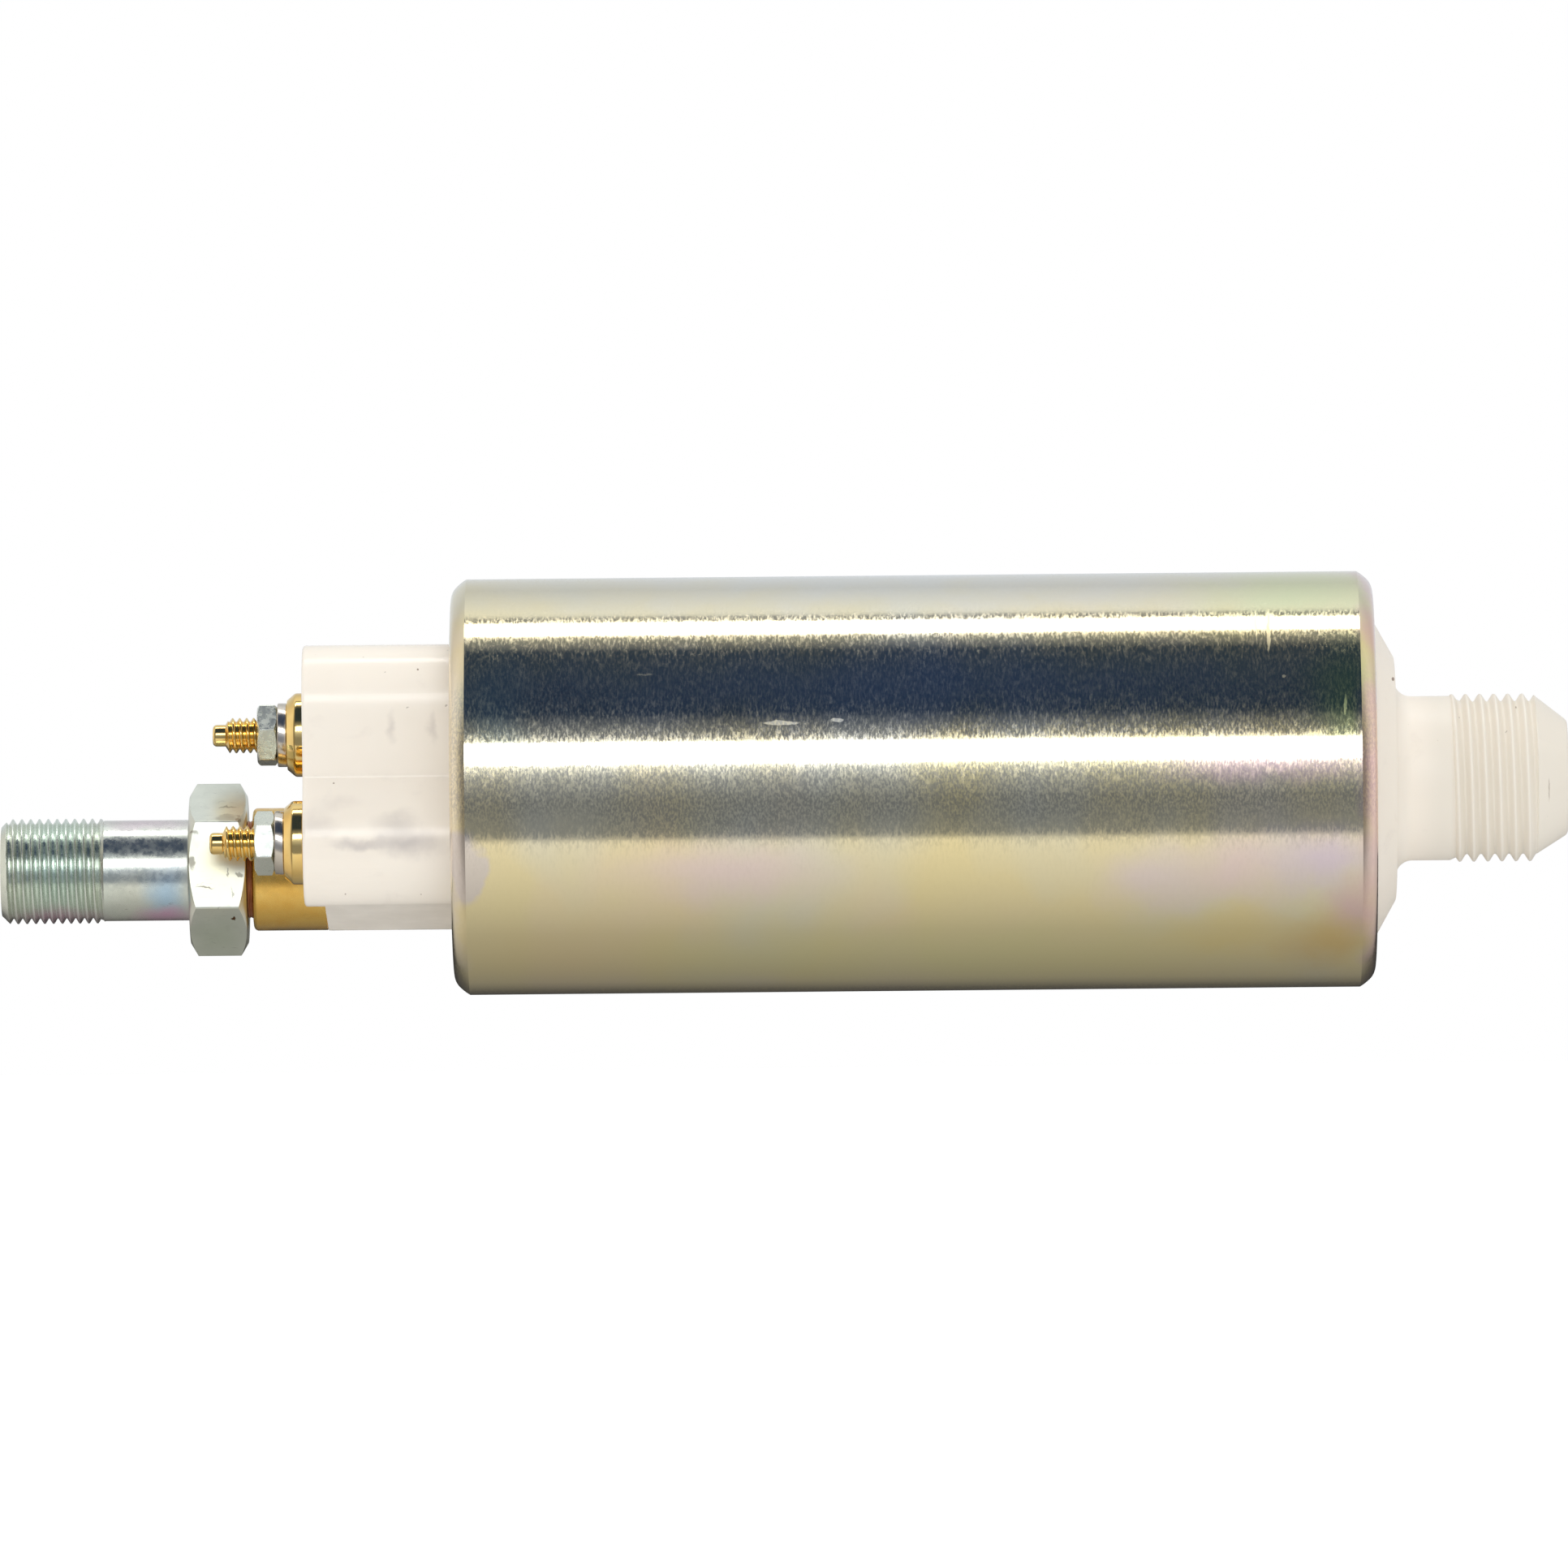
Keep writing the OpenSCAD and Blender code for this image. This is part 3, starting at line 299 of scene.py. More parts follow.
def finish_mesh(bm, name, sharp=SHARP):
    """Welds the points, turns the faces outwards and makes a smooth object with sharp edges."""
    weld = 1e-8
    bmesh.ops.remove_doubles(bm, verts=bm.verts, dist=weld)
    bmesh.ops.dissolve_degenerate(bm, edges=bm.edges, dist=weld)
    bmesh.ops.recalc_face_normals(bm, faces=bm.faces)
    mesh = bpy.data.meshes.new(name)
    bm.to_mesh(mesh)
    bm.free()
    mesh.shade_smooth()
    mesh.set_sharp_from_angle(angle=math.radians(sharp))
    piece = bpy.data.objects.new(name, mesh)
    bpy.context.scene.collection.objects.link(piece)
    return piece


def place(piece, material, slot, body, *nodes):
    """Gives a piece its material and its place in the frame."""
    piece.data.materials.clear()
    piece.data.materials.append(material)
    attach(piece, body)
    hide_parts(*nodes)
    return piece


def hex_radius(flats, corner, edge):
    """Radius of a hexagon with rounded corners, as a function of the angle."""
    center = (flats / 2 - edge) / math.cos(math.pi / 6)
    tangent = math.pi / 6 - math.atan2(center / 2, flats / 2)

    def radius(turn):
        away = abs((turn - corner + math.pi / 6) % (math.pi / 3) - math.pi / 6)
        if away < tangent:
            return center * math.cos(away) + math.sqrt(edge ** 2 - (center * math.sin(away)) ** 2)
        return flats / 2 / math.cos(math.pi / 6 - away)
    return radius


def hexagon(solid, x0, x1, flats, corner, edge, face_inset):
    """Rings of a hexagon with its ends chamfered at 30 degrees, between two round faces."""
    outer = hex_radius(flats, corner, edge)
    face_r = flats / 2 - face_inset
    lean = math.tan(math.radians(30))

    def drop(turn):
        return (outer(turn) - face_r) * lean
    solid.ring(x0, face_r)
    solid.ring(lambda t: x0 + drop(t) * 0.5, lambda t: (face_r + outer(t)) / 2)
    solid.ring(lambda t: x0 + drop(t), outer)
    solid.ring((x0 + x1) / 2, outer)
    solid.ring(lambda t: x1 - drop(t), outer)
    solid.ring(lambda t: x1 - drop(t) * 0.5, lambda t: (face_r + outer(t)) / 2)
    solid.ring(x1, face_r)


def profile_radius(root, crest, root_flat, crest_flat, round_off):
    """Radius over one pitch of a thread, from 0 to 1, with the crest in the middle."""
    def radius(part):
        away = abs((part % 1) - 0.5) * 2
        rise = part_way(away, 1 - root_flat, crest_flat)
        smooth = rise * rise * (3 - 2 * rise)
        return root + (crest - root) * (rise * (1 - round_off) + smooth * round_off)
    return radius


def crest_phase(x, pitch):
    """Phase of a thread that has a crest at x on its upper edge."""
    return 0.75 - x / pitch


def rim_points(steps=8):
    """The rolled rim: (distance from the end, radius), from the crease where it leaves the wall."""
    x, r = 0.0, TUBE_R
    points = [(x, r)]
    for bend, start, end in zip(RIM_BENDS, RIM_SLOPES, RIM_SLOPES[1:]):
        for k in range(steps):
            slope = math.radians(start + (end - start) * (k + 0.5) / steps)
            step = bend * math.radians(end - start) / steps
            x += step * math.cos(slope)
            r -= step * math.sin(slope)
            points.append((x, r))
    return [(x - along, r) for along, r in points]


def housing():
    """The steel tube, with both ends rolled in over the caps."""
    inner = TUBE_R - WALL
    lip0, lip1 = TUBE_X0 + WALL, TUBE_X1 - WALL
    soft = 0.35
    spans = 40
    roll = rim_points()
    tube = Turned(AXIS, 288)
    tube.rings(arc((lip0 - soft, OUTLET_OPENING_R + soft), soft, 0, -90, 3))
    tube.rings(arc((TUBE_X0 + soft, OUTLET_OPENING_R + soft), soft, 270, 180, 4))
    tube.rings([(TUBE_X0 + out, r) for out, r in reversed(roll)])
    rim = roll[0][0]
    for k in range(1, spans):
        tube.ring(TUBE_X0 + rim + (TUBE_X1 - TUBE_X0 - 2 * rim) * k / spans, TUBE_R)
    tube.rings([(TUBE_X1 - out, r) for out, r in roll])
    tube.rings(arc((TUBE_X1 - soft, INLET_OPENING_R + soft), soft, 0, -90, 4))
    tube.rings(arc((lip1 + soft, INLET_OPENING_R + soft), soft, 270, 180, 3))
    tube.rings([(lip1, inner), (lip0, inner)])
    return tube.close("housing_shell", 24)


def outward(turn):
    return Vector((math.cos(turn), math.sin(turn)))


def tangent_turn(a, b):
    """Direction of the outward normal of the tangent from disc a to disc b, going anticlockwise."""
    (at_a, ra), (at_b, rb) = a, b
    way = at_b - at_a
    return math.atan2(way.y, way.x) - math.acos((ra - rb) / way.length)


def sweep(disc, start, end, inset, steps=28):
    """Points of a disc's edge, anticlockwise from one direction to another."""
    at, r = disc
    span = (end - start) % TURN
    return [at + outward(start + span * k / steps) * (r - inset) for k in range(steps + 1)]


def crease(inset, steps=8):
    """The rounded valley between the upper lobe's wall and the front lobe's wall."""
    upper = Vector((-math.cos(UPPER_WALL_TILT), -math.sin(UPPER_WALL_TILT)))
    lower = Vector((-math.cos(LOWER_WALL_TILT), math.sin(LOWER_WALL_TILT)))
    upper_reach = upper.dot(CORNER) + CORNER_R + CREASE_R
    lower_reach = lower.dot(FRONT) + LOBE_R + CREASE_R
    spread = upper.x * lower.y - upper.y * lower.x
    center = Vector(((upper_reach * lower.y - lower_reach * upper.y) / spread,
                     (upper.x * lower_reach - lower.x * upper_reach) / spread))
    start = math.pi + UPPER_WALL_TILT
    end = math.pi - LOWER_WALL_TILT
    return [center - outward(start + (end - start) * k / steps) * (CREASE_R + inset)
            for k in range(steps + 1)]


def prism(name, rows):
    """A closed solid from outlines of as many points each, given with their place along X."""
    bm = bmesh.new()
    last = None
    for x, outline in rows:
        verts = [bm.verts.new(Vector((x, p.x, p.y)) * MM) for p in outline]
        if last:
            join(bm, last, verts)
        else:
            bm.faces.new(verts)
        last = verts
    bm.faces.new(last)
    return finish_mesh(bm, name)


def boolean(piece, other, operation):
    """Cuts or joins another solid, which is then removed."""
    cut = piece.modifiers.new("cut", "BOOLEAN")
    cut.object = other
    cut.operation = operation
    cut.solver = "EXACT"
    shape = bpy.data.meshes.new_from_object(piece.evaluated_get(bpy.context.evaluated_depsgraph_get()))
    piece.modifiers.clear()
    piece.data = shape
    bpy.data.objects.remove(other)
    return piece


def rounded_front(x, edge, outline, steps=6):
    """Rows of a prism's rounded front edge."""
    rows = []
    for k in range(steps + 1):
        lean = math.pi / 2 * k / steps
        rows.append((x + edge * (1 - math.sin(lean)), outline(edge * (1 - math.cos(lean)))))
    return rows[::-1]


def cap_outline(inset, boss=None):
    """The outlet cap's lobes, joined by their tangents, and the outlet's boss if it is given."""
    rear, corner, front = (REAR, LOBE_R), (CORNER, CORNER_R), (FRONT, LOBE_R)
    top = tangent_turn(rear, corner)
    into, out = tangent_turn(front, boss or rear), tangent_turn(boss or front, rear)
    points = sweep(rear, out, top, inset, 40)
    points += sweep(corner, top, math.pi + UPPER_WALL_TILT, inset)
    points += crease(inset)
    points += sweep(front, math.pi - LOWER_WALL_TILT, into, inset, 36)
    if boss:
        points += sweep(boss, into, out, inset, 48)
    return points


def boss_outline(inset):
    """The cap's outline behind the step."""
    return cap_outline(inset + BOSS_INSET, (OUTLET, BOSS_R))


def cap_flange():
    """The cap's round flange and skirt, inside the tube."""
    x0 = TUBE_X0 + WALL + GAP
    wall_x = x0 + CAP_WALL
    skirt_x = x0 + CAP_FLANGE + CAP_SHOULDER
    skirt_bore_r = CAP_SKIRT_R - CAP_SKIRT_WALL
    flange = Turned(AXIS, 192)
    flange.rings([(wall_x, CORE_R), (x0, CORE_R), (x0, CAP_R - FLANGE_BEVEL), (x0 + FLANGE_BEVEL, CAP_R)])
    flange.rings([(CAP_END_X, CAP_R), (CAP_END_X, CAP_SKIRT_R), (skirt_x, CAP_SKIRT_R)])
    flange.rings([(skirt_x, skirt_bore_r), (wall_x, skirt_bore_r)])
    return flange.close("flange")


def outlet_cap():
    """The cap's lobes and flange in one piece, with a hole for the sleeve."""
    back = TUBE_X0 + WALL + 0.5
    nose_back = back - 0.2
    step_x = CAP_FACE_X + BOSS_SETBACK
    hole_x = step_x - 0.001
    body = prism("outlet_cap", rounded_front(step_x, BOSS_EDGE, boss_outline) + [(back, boss_outline(0))])
    nose = prism("nose", rounded_front(CAP_FACE_X, CAP_EDGE, cap_outline) + [(nose_back, cap_outline(0))])
    boolean(body, nose, "UNION")
    boolean(body, cap_flange(), "UNION")
    hole = Turned(OUTLET, 160)
    hole.rings([(SLEEVE_X0, CORE_R), (SLEEVE_X0, SLEEVE_R + GAP)])
    hole.rings([(hole_x, SLEEVE_R + GAP), (hole_x, CORE_R)])
    boolean(body, hole.close("hole"), "DIFFERENCE")
    body.data.shade_smooth()
    body.data.set_sharp_from_angle(angle=math.radians(SHARP))
    return body


def inlet_cap():
    """The cone, the neck and the threaded spigot with its conical tip."""
    face = TUBE_X1 + INLET_FACE_OUT
    flange_x = TUBE_X1 - WALL - GAP
    thread_x0 = face + NECK_LEN
    thread_x1 = thread_x0 + INLET_TURNS * INLET_PITCH
    lead_in = 0.9 * INLET_PITCH
    run_out = 0.35
    tip_slope = 1.1
    root = INLET_CREST_R - INLET_DEPTH
    wave = profile_radius(root, INLET_CREST_R, root_flat=0.05, crest_flat=0.08, round_off=0.7)
    phase = crest_phase(INLET_CREST_X, INLET_PITCH)

    def radius(x, turn):
        r = wave(x / INLET_PITCH - turn / TURN + phase)
        shoulder = NECK_R + (root - NECK_R) * part_way(x, thread_x0, thread_x0 + lead_in)
        tip = INLET_CREST_R - max(x - (thread_x1 - run_out), 0) * tip_slope
        return min(max(r, shoulder), tip)
    cap = Turned(AXIS, 224)
    cap.rings([(INLET_X0, INLET_BORE_R), (INLET_X0, CHAMBER_R), (INLET_X0, CAP_R - FLANGE_BEVEL)])
    cap.rings([(INLET_X0 + FLANGE_BEVEL, CAP_R), (flange_x - FLANGE_BEVEL, CAP_R)])
    cap.rings([(flange_x, CAP_R - FLANGE_BEVEL), (flange_x, INLET_CONE_R), (TUBE_X1, INLET_CONE_R)])
    slope = math.atan2(INLET_CONE_R - INLET_FACE_R, INLET_FACE_OUT)
    normal = math.degrees(math.pi / 2 - slope)
    sink = 0.2 * INLET_FACE_EDGE * math.tan(slope / 2)
    cap.rings(arc((face - INLET_FACE_EDGE, INLET_FACE_R - sink), INLET_FACE_EDGE, normal, 0, 8))
    cap.rings(arc((face + NECK_FILLET, NECK_R + NECK_FILLET), NECK_FILLET, 180, 270, 14))
    cap.thread(thread_x0, thread_x1, INLET_PITCH, radius, 18)
    cap.rings([(INLET_X1 - back, INLET_TIP_R + out) for back, out in INLET_TIP_ROUND])
    cap.rings([(INLET_X1, INLET_BORE_R + INLET_BORE_BEVEL), (INLET_X1 - INLET_BORE_BEVEL, INLET_BORE_R)])
    return cap.close("inlet_cap")


def fitting():
    """The outlet fitting: thread, plain shank, hexagon and the stub that sits in the sleeve."""
    root = OUTLET_CREST_R - OUTLET_DEPTH
    hex_x0 = HEX_X1 - HEX_LEN
    thread_x1 = hex_x0 - SHANK_LEN
    root_run_out = 0.8
    crest_run_out = 0.5
    fillet = 0.25
    wave = profile_radius(root, OUTLET_CREST_R, root_flat=0.1, crest_flat=0.12, round_off=0.25)
    phase = crest_phase(OUTLET_CREST_X, OUTLET_PITCH)

    def radius(x, turn):
        r = wave(x / OUTLET_PITCH - turn / TURN + phase)
        least = root + (SHANK_R - root) * part_way(x, thread_x1 - root_run_out, thread_x1)
        shank = part_way(x, thread_x1 - crest_run_out, thread_x1)
        most = OUTLET_CREST_R + (SHANK_R - OUTLET_CREST_R) * shank
        chamfer = OUTLET_CREST_R - OUTLET_CHAMFER + (x - FITTING_X0)
        return min(max(r, least), most, chamfer)
    port_x = FITTING_X0 + PORT_LEN
    stub_x = SLEEVE_X0 + STUB_LEN
    solid = Turned(OUTLET, 192, HEX_CORNER, 0.88)
    solid.rings([(port_x, CORE_R), (port_x, PORT_R)])
    solid.rings([(FITTING_X0 + PORT_BEVEL, PORT_R), (FITTING_X0, PORT_R + PORT_BEVEL)])
    solid.thread(FITTING_X0, thread_x1, OUTLET_PITCH, radius, 24)
    solid.ring(thread_x1 + 0.15, SHANK_R)
    solid.rings(arc((hex_x0 - fillet, SHANK_R + fillet), fillet, 270, 360, 4))
    hexagon(solid, hex_x0, HEX_X1, HEX_FLATS, HEX_CORNER, edge=0.22, face_inset=0.15)
    solid.rings([(HEX_X1, STUB_R), (stub_x, STUB_R), (stub_x, CORE_R)])
    return solid.close("outlet_fitting_turned")


def sleeve():
    """The brass sleeve, its hidden end cut off behind the boss's face."""
    end_x = CAP_FACE_X + BOSS_SETBACK - GAP
    bevel = 0.08
    solid = Turned(OUTLET, 192)
    solid.rings([(end_x, SLEEVE_BORE_R), (SLEEVE_X0, SLEEVE_BORE_R)])
    solid.rings(arc((SLEEVE_X0 + SLEEVE_EDGE, SLEEVE_R - SLEEVE_EDGE), SLEEVE_EDGE, 180, 90, 8))
    solid.rings([(end_x - bevel, SLEEVE_R), (end_x, SLEEVE_R - bevel)])
    return solid.close("outlet_sleeve")


def seal_ring():
    """The copper sealing washer: two rolled edges with a groove between them."""
    outer = (high("sealing_washer").y - low("sealing_washer").y) / 2
    middle = (HEX_X1 + SLEEVE_X0) / 2
    half = (SLEEVE_X0 - HEX_X1) / 2
    bulge = half * 0.48
    solid = Turned(OUTLET, 160)
    solid.rings([(SLEEVE_X0, SEAL_BORE_R), (HEX_X1, SEAL_BORE_R)])
    solid.rings(arc((middle - half + bulge, outer - bulge), bulge, 180, 30, 8))
    solid.rings(arc((middle + half - bulge, outer - bulge), bulge, 150, 0, 8))
    return solid.close("copper_seal_ring")


def stud(at, name, phase):
    """A terminal stud: dog point, thread, base flange and stem."""
    thread_x0 = NUT_X0 - STUD_CRESTS * STUD_PITCH
    cone_x = thread_x0 - DOG_CONE
    wave = profile_radius(STUD_R - STUD_DEPTH, STUD_R, root_flat=0.12, crest_flat=0.14, round_off=0.4)

    def radius(x, turn):
        r = wave((x - thread_x0) / STUD_PITCH - turn / TURN + phase)
        return min(r, DOG_R + (x - cone_x) * DOG_CONE_SLOPE)
    face_x = WASHER_X1
    slope_x = face_x + FLANGE_SLOPE
    base_x = CAP_FACE_X - GAP
    face_edge, slope_edge, base_bevel = 0.12, 0.6, 0.1
    solid = Turned(at, 96)
    solid.ring(STUD_X0, CORE_R)
    solid.rings(arc((STUD_X0 + DOG_EDGE, DOG_R - DOG_EDGE), DOG_EDGE, 180, 90, 6))
    solid.ring(cone_x, DOG_R)
    solid.thread(cone_x, NUT_X1 - 0.5, STUD_PITCH, radius, 16)
    solid.ring(face_x, STUD_SEAT_R)
    solid.rings(arc((face_x + face_edge, FLANGE_FACE_R - face_edge), face_edge, 180, 135, 3))
    solid.rings(arc((slope_x + slope_edge / 2, STUD_FLANGE_R - slope_edge), slope_edge, 135, 90, 8))
    solid.rings([(base_x - base_bevel, STUD_FLANGE_R), (base_x, STUD_FLANGE_R - base_bevel)])
    solid.rings([(base_x, STUD_STEM_R), (STUD_X1, STUD_STEM_R), (STUD_X1, CORE_R)])
    return solid.close(name)


def nut(at, name, corner):
    """A hexagon nut with a bevelled bore."""
    mouth_r = NUT_BORE_R + NUT_BEVEL
    solid = Turned(at, 144, corner, 0.85)
    solid.rings([(NUT_X1, mouth_r), (NUT_X1 - NUT_BEVEL, NUT_BORE_R)])
    solid.rings([(NUT_X0 + NUT_BEVEL, NUT_BORE_R), (NUT_X0, mouth_r)])
    hexagon(solid, NUT_X0, NUT_X1, NUT_FLATS, corner, edge=0.16, face_inset=0.12)
    return solid.close(name)


def spring_washer(at, name, slit_turn):
    """A slit washer: a square section swept nearly all the way round, its ends cut aslant."""
    x0, x1 = NUT_X1, WASHER_X1
    edge = 0.16
    gap = 0.14
    steps = 96
    lean = 0.22
    left, right = x0 + edge, x1 - edge
    near, far = WASHER_BORE_R + edge, WASHER_R - edge
    corners = [((left, near), 180, 270), ((right, near), 270, 360),
               ((right, far), 0, 90), ((left, far), 90, 180)]
    section = [p for center, start, end in corners for p in arc(center, edge, start, end, 3)]
    bm = bmesh.new()
    last = None
    for k in range(steps + 1):
        turn = slit_turn + gap / 2 + (TURN - gap) * k / steps
        verts = []
        for x, r in section:
            bent = turn + lean * (x - (x0 + x1) / 2)
            point = (x, at[0] + r * math.cos(bent), at[1] + r * math.sin(bent))
            verts.append(bm.verts.new(Vector(point) * MM))
        if last:
            join(bm, last, verts)
        else:
            bm.faces.new(verts)
        last = verts
    bm.faces.new(last)
    return finish_mesh(bm, name)


class Tree:
    """Short forms for building a node tree."""

    def __init__(self, tree):
        self.tree = tree

    def node(self, kind, **settings):
        made = self.tree.nodes.new(kind)
        for key, value in settings.items():
            setattr(made, key, value)
        return made

    def link(self, out, into):
        self.tree.links.new(out, into)

    def feed(self, socket, value):
        """Gives a socket a value, or the output of another node."""
        if isinstance(value, bpy.types.NodeSocket):
            self.link(value, socket)
        else:
            socket.default_value = value

    def ramp(self, value, *stops):
        made = self.node("ShaderNodeValToRGB")
        band = made.color_ramp
        while len(band.elements) < len(stops):
            band.elements.new(0.5)
        for element, (position, color) in zip(band.elements, stops):
            element.position = position
            element.color = color if hasattr(color, "__len__") else grey(color)
        self.link(value, made.inputs["Fac"])
        return made.outputs["Color"]

    def mix(self, first, second, share, blend="MIX"):
        made = self.node("ShaderNodeMix", data_type="RGBA", blend_type=blend)
        self.feed(made.inputs["Factor"], share)
        self.feed(made.inputs["A"], first)
        self.feed(made.inputs["B"], second)
        return made.outputs["Result"]

    def math(self, operation, first, second=0.0):
        made = self.node("ShaderNodeMath", operation=operation)
        self.feed(made.inputs[0], first)
        self.feed(made.inputs[1], second)
        return made.outputs["Value"]


class Material(Tree):
    """A procedural material built node by node round one Principled shader."""

    def __init__(self, name, metallic, roughness):
        self.material = bpy.data.materials.new(name)
        self.material.use_nodes = True
        super().__init__(self.material.node_tree)
        self.shader = self.tree.nodes["Principled BSDF"]
        self.shader.inputs["Metallic"].default_value = metallic
        self.shader.inputs["Roughness"].default_value = roughness
        self.place = self.node("ShaderNodeTexCoord").outputs["Object"]
        self.wavy = self.place

    def stretched(self, scale, shift=(0, 0, 0)):
        """Object coordinates scaled apart along X, Y and Z."""
        made = self.node("ShaderNodeMapping")
        made.inputs["Scale"].default_value = scale
        made.inputs["Location"].default_value = shift
        self.link(self.place, made.inputs["Vector"])
        return made.outputs["Vector"]

    def noise(self, scale, detail, rough=0.55, place=None, distortion=0.0):
        made = self.node("ShaderNodeTexNoise")
        made.inputs["Scale"].default_value = scale
        made.inputs["Detail"].default_value = detail
        made.inputs["Roughness"].default_value = rough
        made.inputs["Distortion"].default_value = distortion
        self.link(place or self.place, made.inputs["Vector"])
        return made.outputs["Fac"]

    def cloudy(self, scale, detail, first, second):
        """A cloudy mix of two colours or values."""
        return self.ramp(self.noise(scale, detail), (0.3, first), (0.7, second))

    def warp(self, reach, scale):
        """Makes the edges of spots wander by a reach in millimetres."""
        cloud = self.node("ShaderNodeTexNoise")
        cloud.inputs["Scale"].default_value = scale
        cloud.inputs["Detail"].default_value = 4
        self.link(self.place, cloud.inputs["Vector"])
        shift = self.node("ShaderNodeVectorMath", operation="MULTIPLY_ADD")
        self.link(cloud.outputs["Color"], shift.inputs[0])
        shift.inputs[1].default_value = [2 * reach * MM] * 3
        shift.inputs[2].default_value = [-reach * MM] * 3
        total = self.node("ShaderNodeVectorMath", operation="ADD")
        self.link(self.place, total.inputs[0])
        self.link(shift.outputs["Vector"], total.inputs[1])
        self.wavy = total.outputs["Vector"]

    def bump(self, height, distance, strength=1.0, under=None):
        made = self.node("ShaderNodeBump")
        made.inputs["Distance"].default_value = distance
        made.inputs["Strength"].default_value = strength
        self.link(height, made.inputs["Height"])
        if under:
            self.link(under, made.inputs["Normal"])
        return made.outputs["Normal"]

    def spot(self, at, size, soft=0.5):
        """1 inside an ellipsoid at a place in millimetres, falling to 0 at its edge."""
        away = self.node("ShaderNodeVectorMath", operation="SUBTRACT")
        self.link(self.wavy, away.inputs[0])
        away.inputs[1].default_value = Vector(at) * MM
        wide = self.node("ShaderNodeVectorMath", operation="DIVIDE")
        self.link(away.outputs["Vector"], wide.inputs[0])
        wide.inputs[1].default_value = Vector(size) * MM
        length = self.node("ShaderNodeVectorMath", operation="LENGTH")
        self.link(wide.outputs["Vector"], length.inputs[0])
        edge = self.node("ShaderNodeMapRange", interpolation_type="SMOOTHSTEP")
        self.link(length.outputs["Value"], edge.inputs["Value"])
        edge.inputs["From Min"].default_value = 1.0
        edge.inputs["From Max"].default_value = 1.0 - soft
        return edge.outputs["Result"]

    def spots(self, under, rows, soft=0.5):
        """Lays spots over a colour: each row has a place, a size, the colour laid and its strength."""
        for at, size, over, strength in rows:
            under = self.mix(under, over, self.math("MULTIPLY", self.spot(at, size, soft), strength))
        return under

    def set(self, color=None, roughness=None, normal=None):
        for key, value in (("Base Color", color), ("Roughness", roughness), ("Normal", normal)):
            if value is not None:
                self.feed(self.shader.inputs[key], value)
        return self.material


# Patches on the plated tube, and one painted highlight tint: place and size in millimetres, colour,
# strength
TUBE_PATCHES_AND_PAINTED_HIGHLIGHT = [
    ((0, 0, 25), (90, 60, 10.5), srgb(230, 230, 228), 0.95),
    ((0, -21, 11), (70, 14, 8), srgb(216, 228, 242), 0.5),
    ((-21, -21, -9.5), (17, 14, 6), srgb(236, 214, 212), 0.75),
    ((27, -21, -11), (9, 14, 6), srgb(232, 214, 222), 0.6),
    ((0, -14, -20), (56, 16, 7.5), srgb(234, 228, 168), 0.6),
    ((36, -21, -10), (9, 14, 6), srgb(236, 212, 212), 0.7),
    ((46, -21, -9), (10, 14, 5.5), srgb(224, 208, 222), 0.85),
    ((49, -18, -14.5), (5, 12, 4.5), srgb(228, 192, 198), 0.7),
    ((46, -14, -18), (8, 12, 4.5), srgb(230, 196, 128), 0.7),
    ((37, -15, -17), (12, 12, 4.5), srgb(242, 220, 150), 0.6),
    ((44, -10, 21), (18, 20, 6), srgb(228, 234, 190), 0.8),
    ((49, -21, 10), (7, 14, 9), srgb(212, 230, 158), 0.8),
    # Painted highlight: a pink tint laid along the lower edge of the front strip's reflection
    ((40, -23, 1.8), (18, 6, 3), srgb(250, 212, 212), 0.6),
    ((-38, -14, -19), (16, 12, 6), srgb(242, 220, 168), 0.5),
    ((-47, -20, 9), (7, 14, 8), srgb(206, 232, 222), 0.45),
    ((52.5, 0, 0), (3.4, 60, 60), srgb(232, 196, 204), 0.95),
    ((-52.5, 0, 0), (3.2, 60, 60), srgb(238, 228, 218), 0.7)]
BARE_PATCH = ((-50.2, -21, -9.0), (2.9, 14, 4.6), srgb(222, 212, 208), 0.8)
# Place and size of the tube's handled front, where the plating is grainy
HANDLED = ((0, -23, 4), (120, 16, 11))
# Places where the plating is scuffed: place and size in millimetres, roughness, strength
TUBE_SCUFFS = [
    ((-14.8, -22.4, 6.9), (2.6, 3, 0.3), 0.44, 1.0),
    ((-8.5, -22.4, 7.1), (0.9, 3, 0.3), 0.44, 1.0),
    ((40.0, -17, 17), (0.25, 6, 4), 0.4, 0.8),
    ((38.6, -17, 17.5), (0.15, 6, 2), 0.4, 0.7),
    ((41.6, -20, 11.6), (0.3, 3, 0.2), 0.4, 1.0),
    ((48.4, -22, 8.4), (0.2, 3, 1.8), 0.4, 0.7),
    ((-30, -20, 12.4), (1.5, 3, 0.12), 0.4, 0.6)]


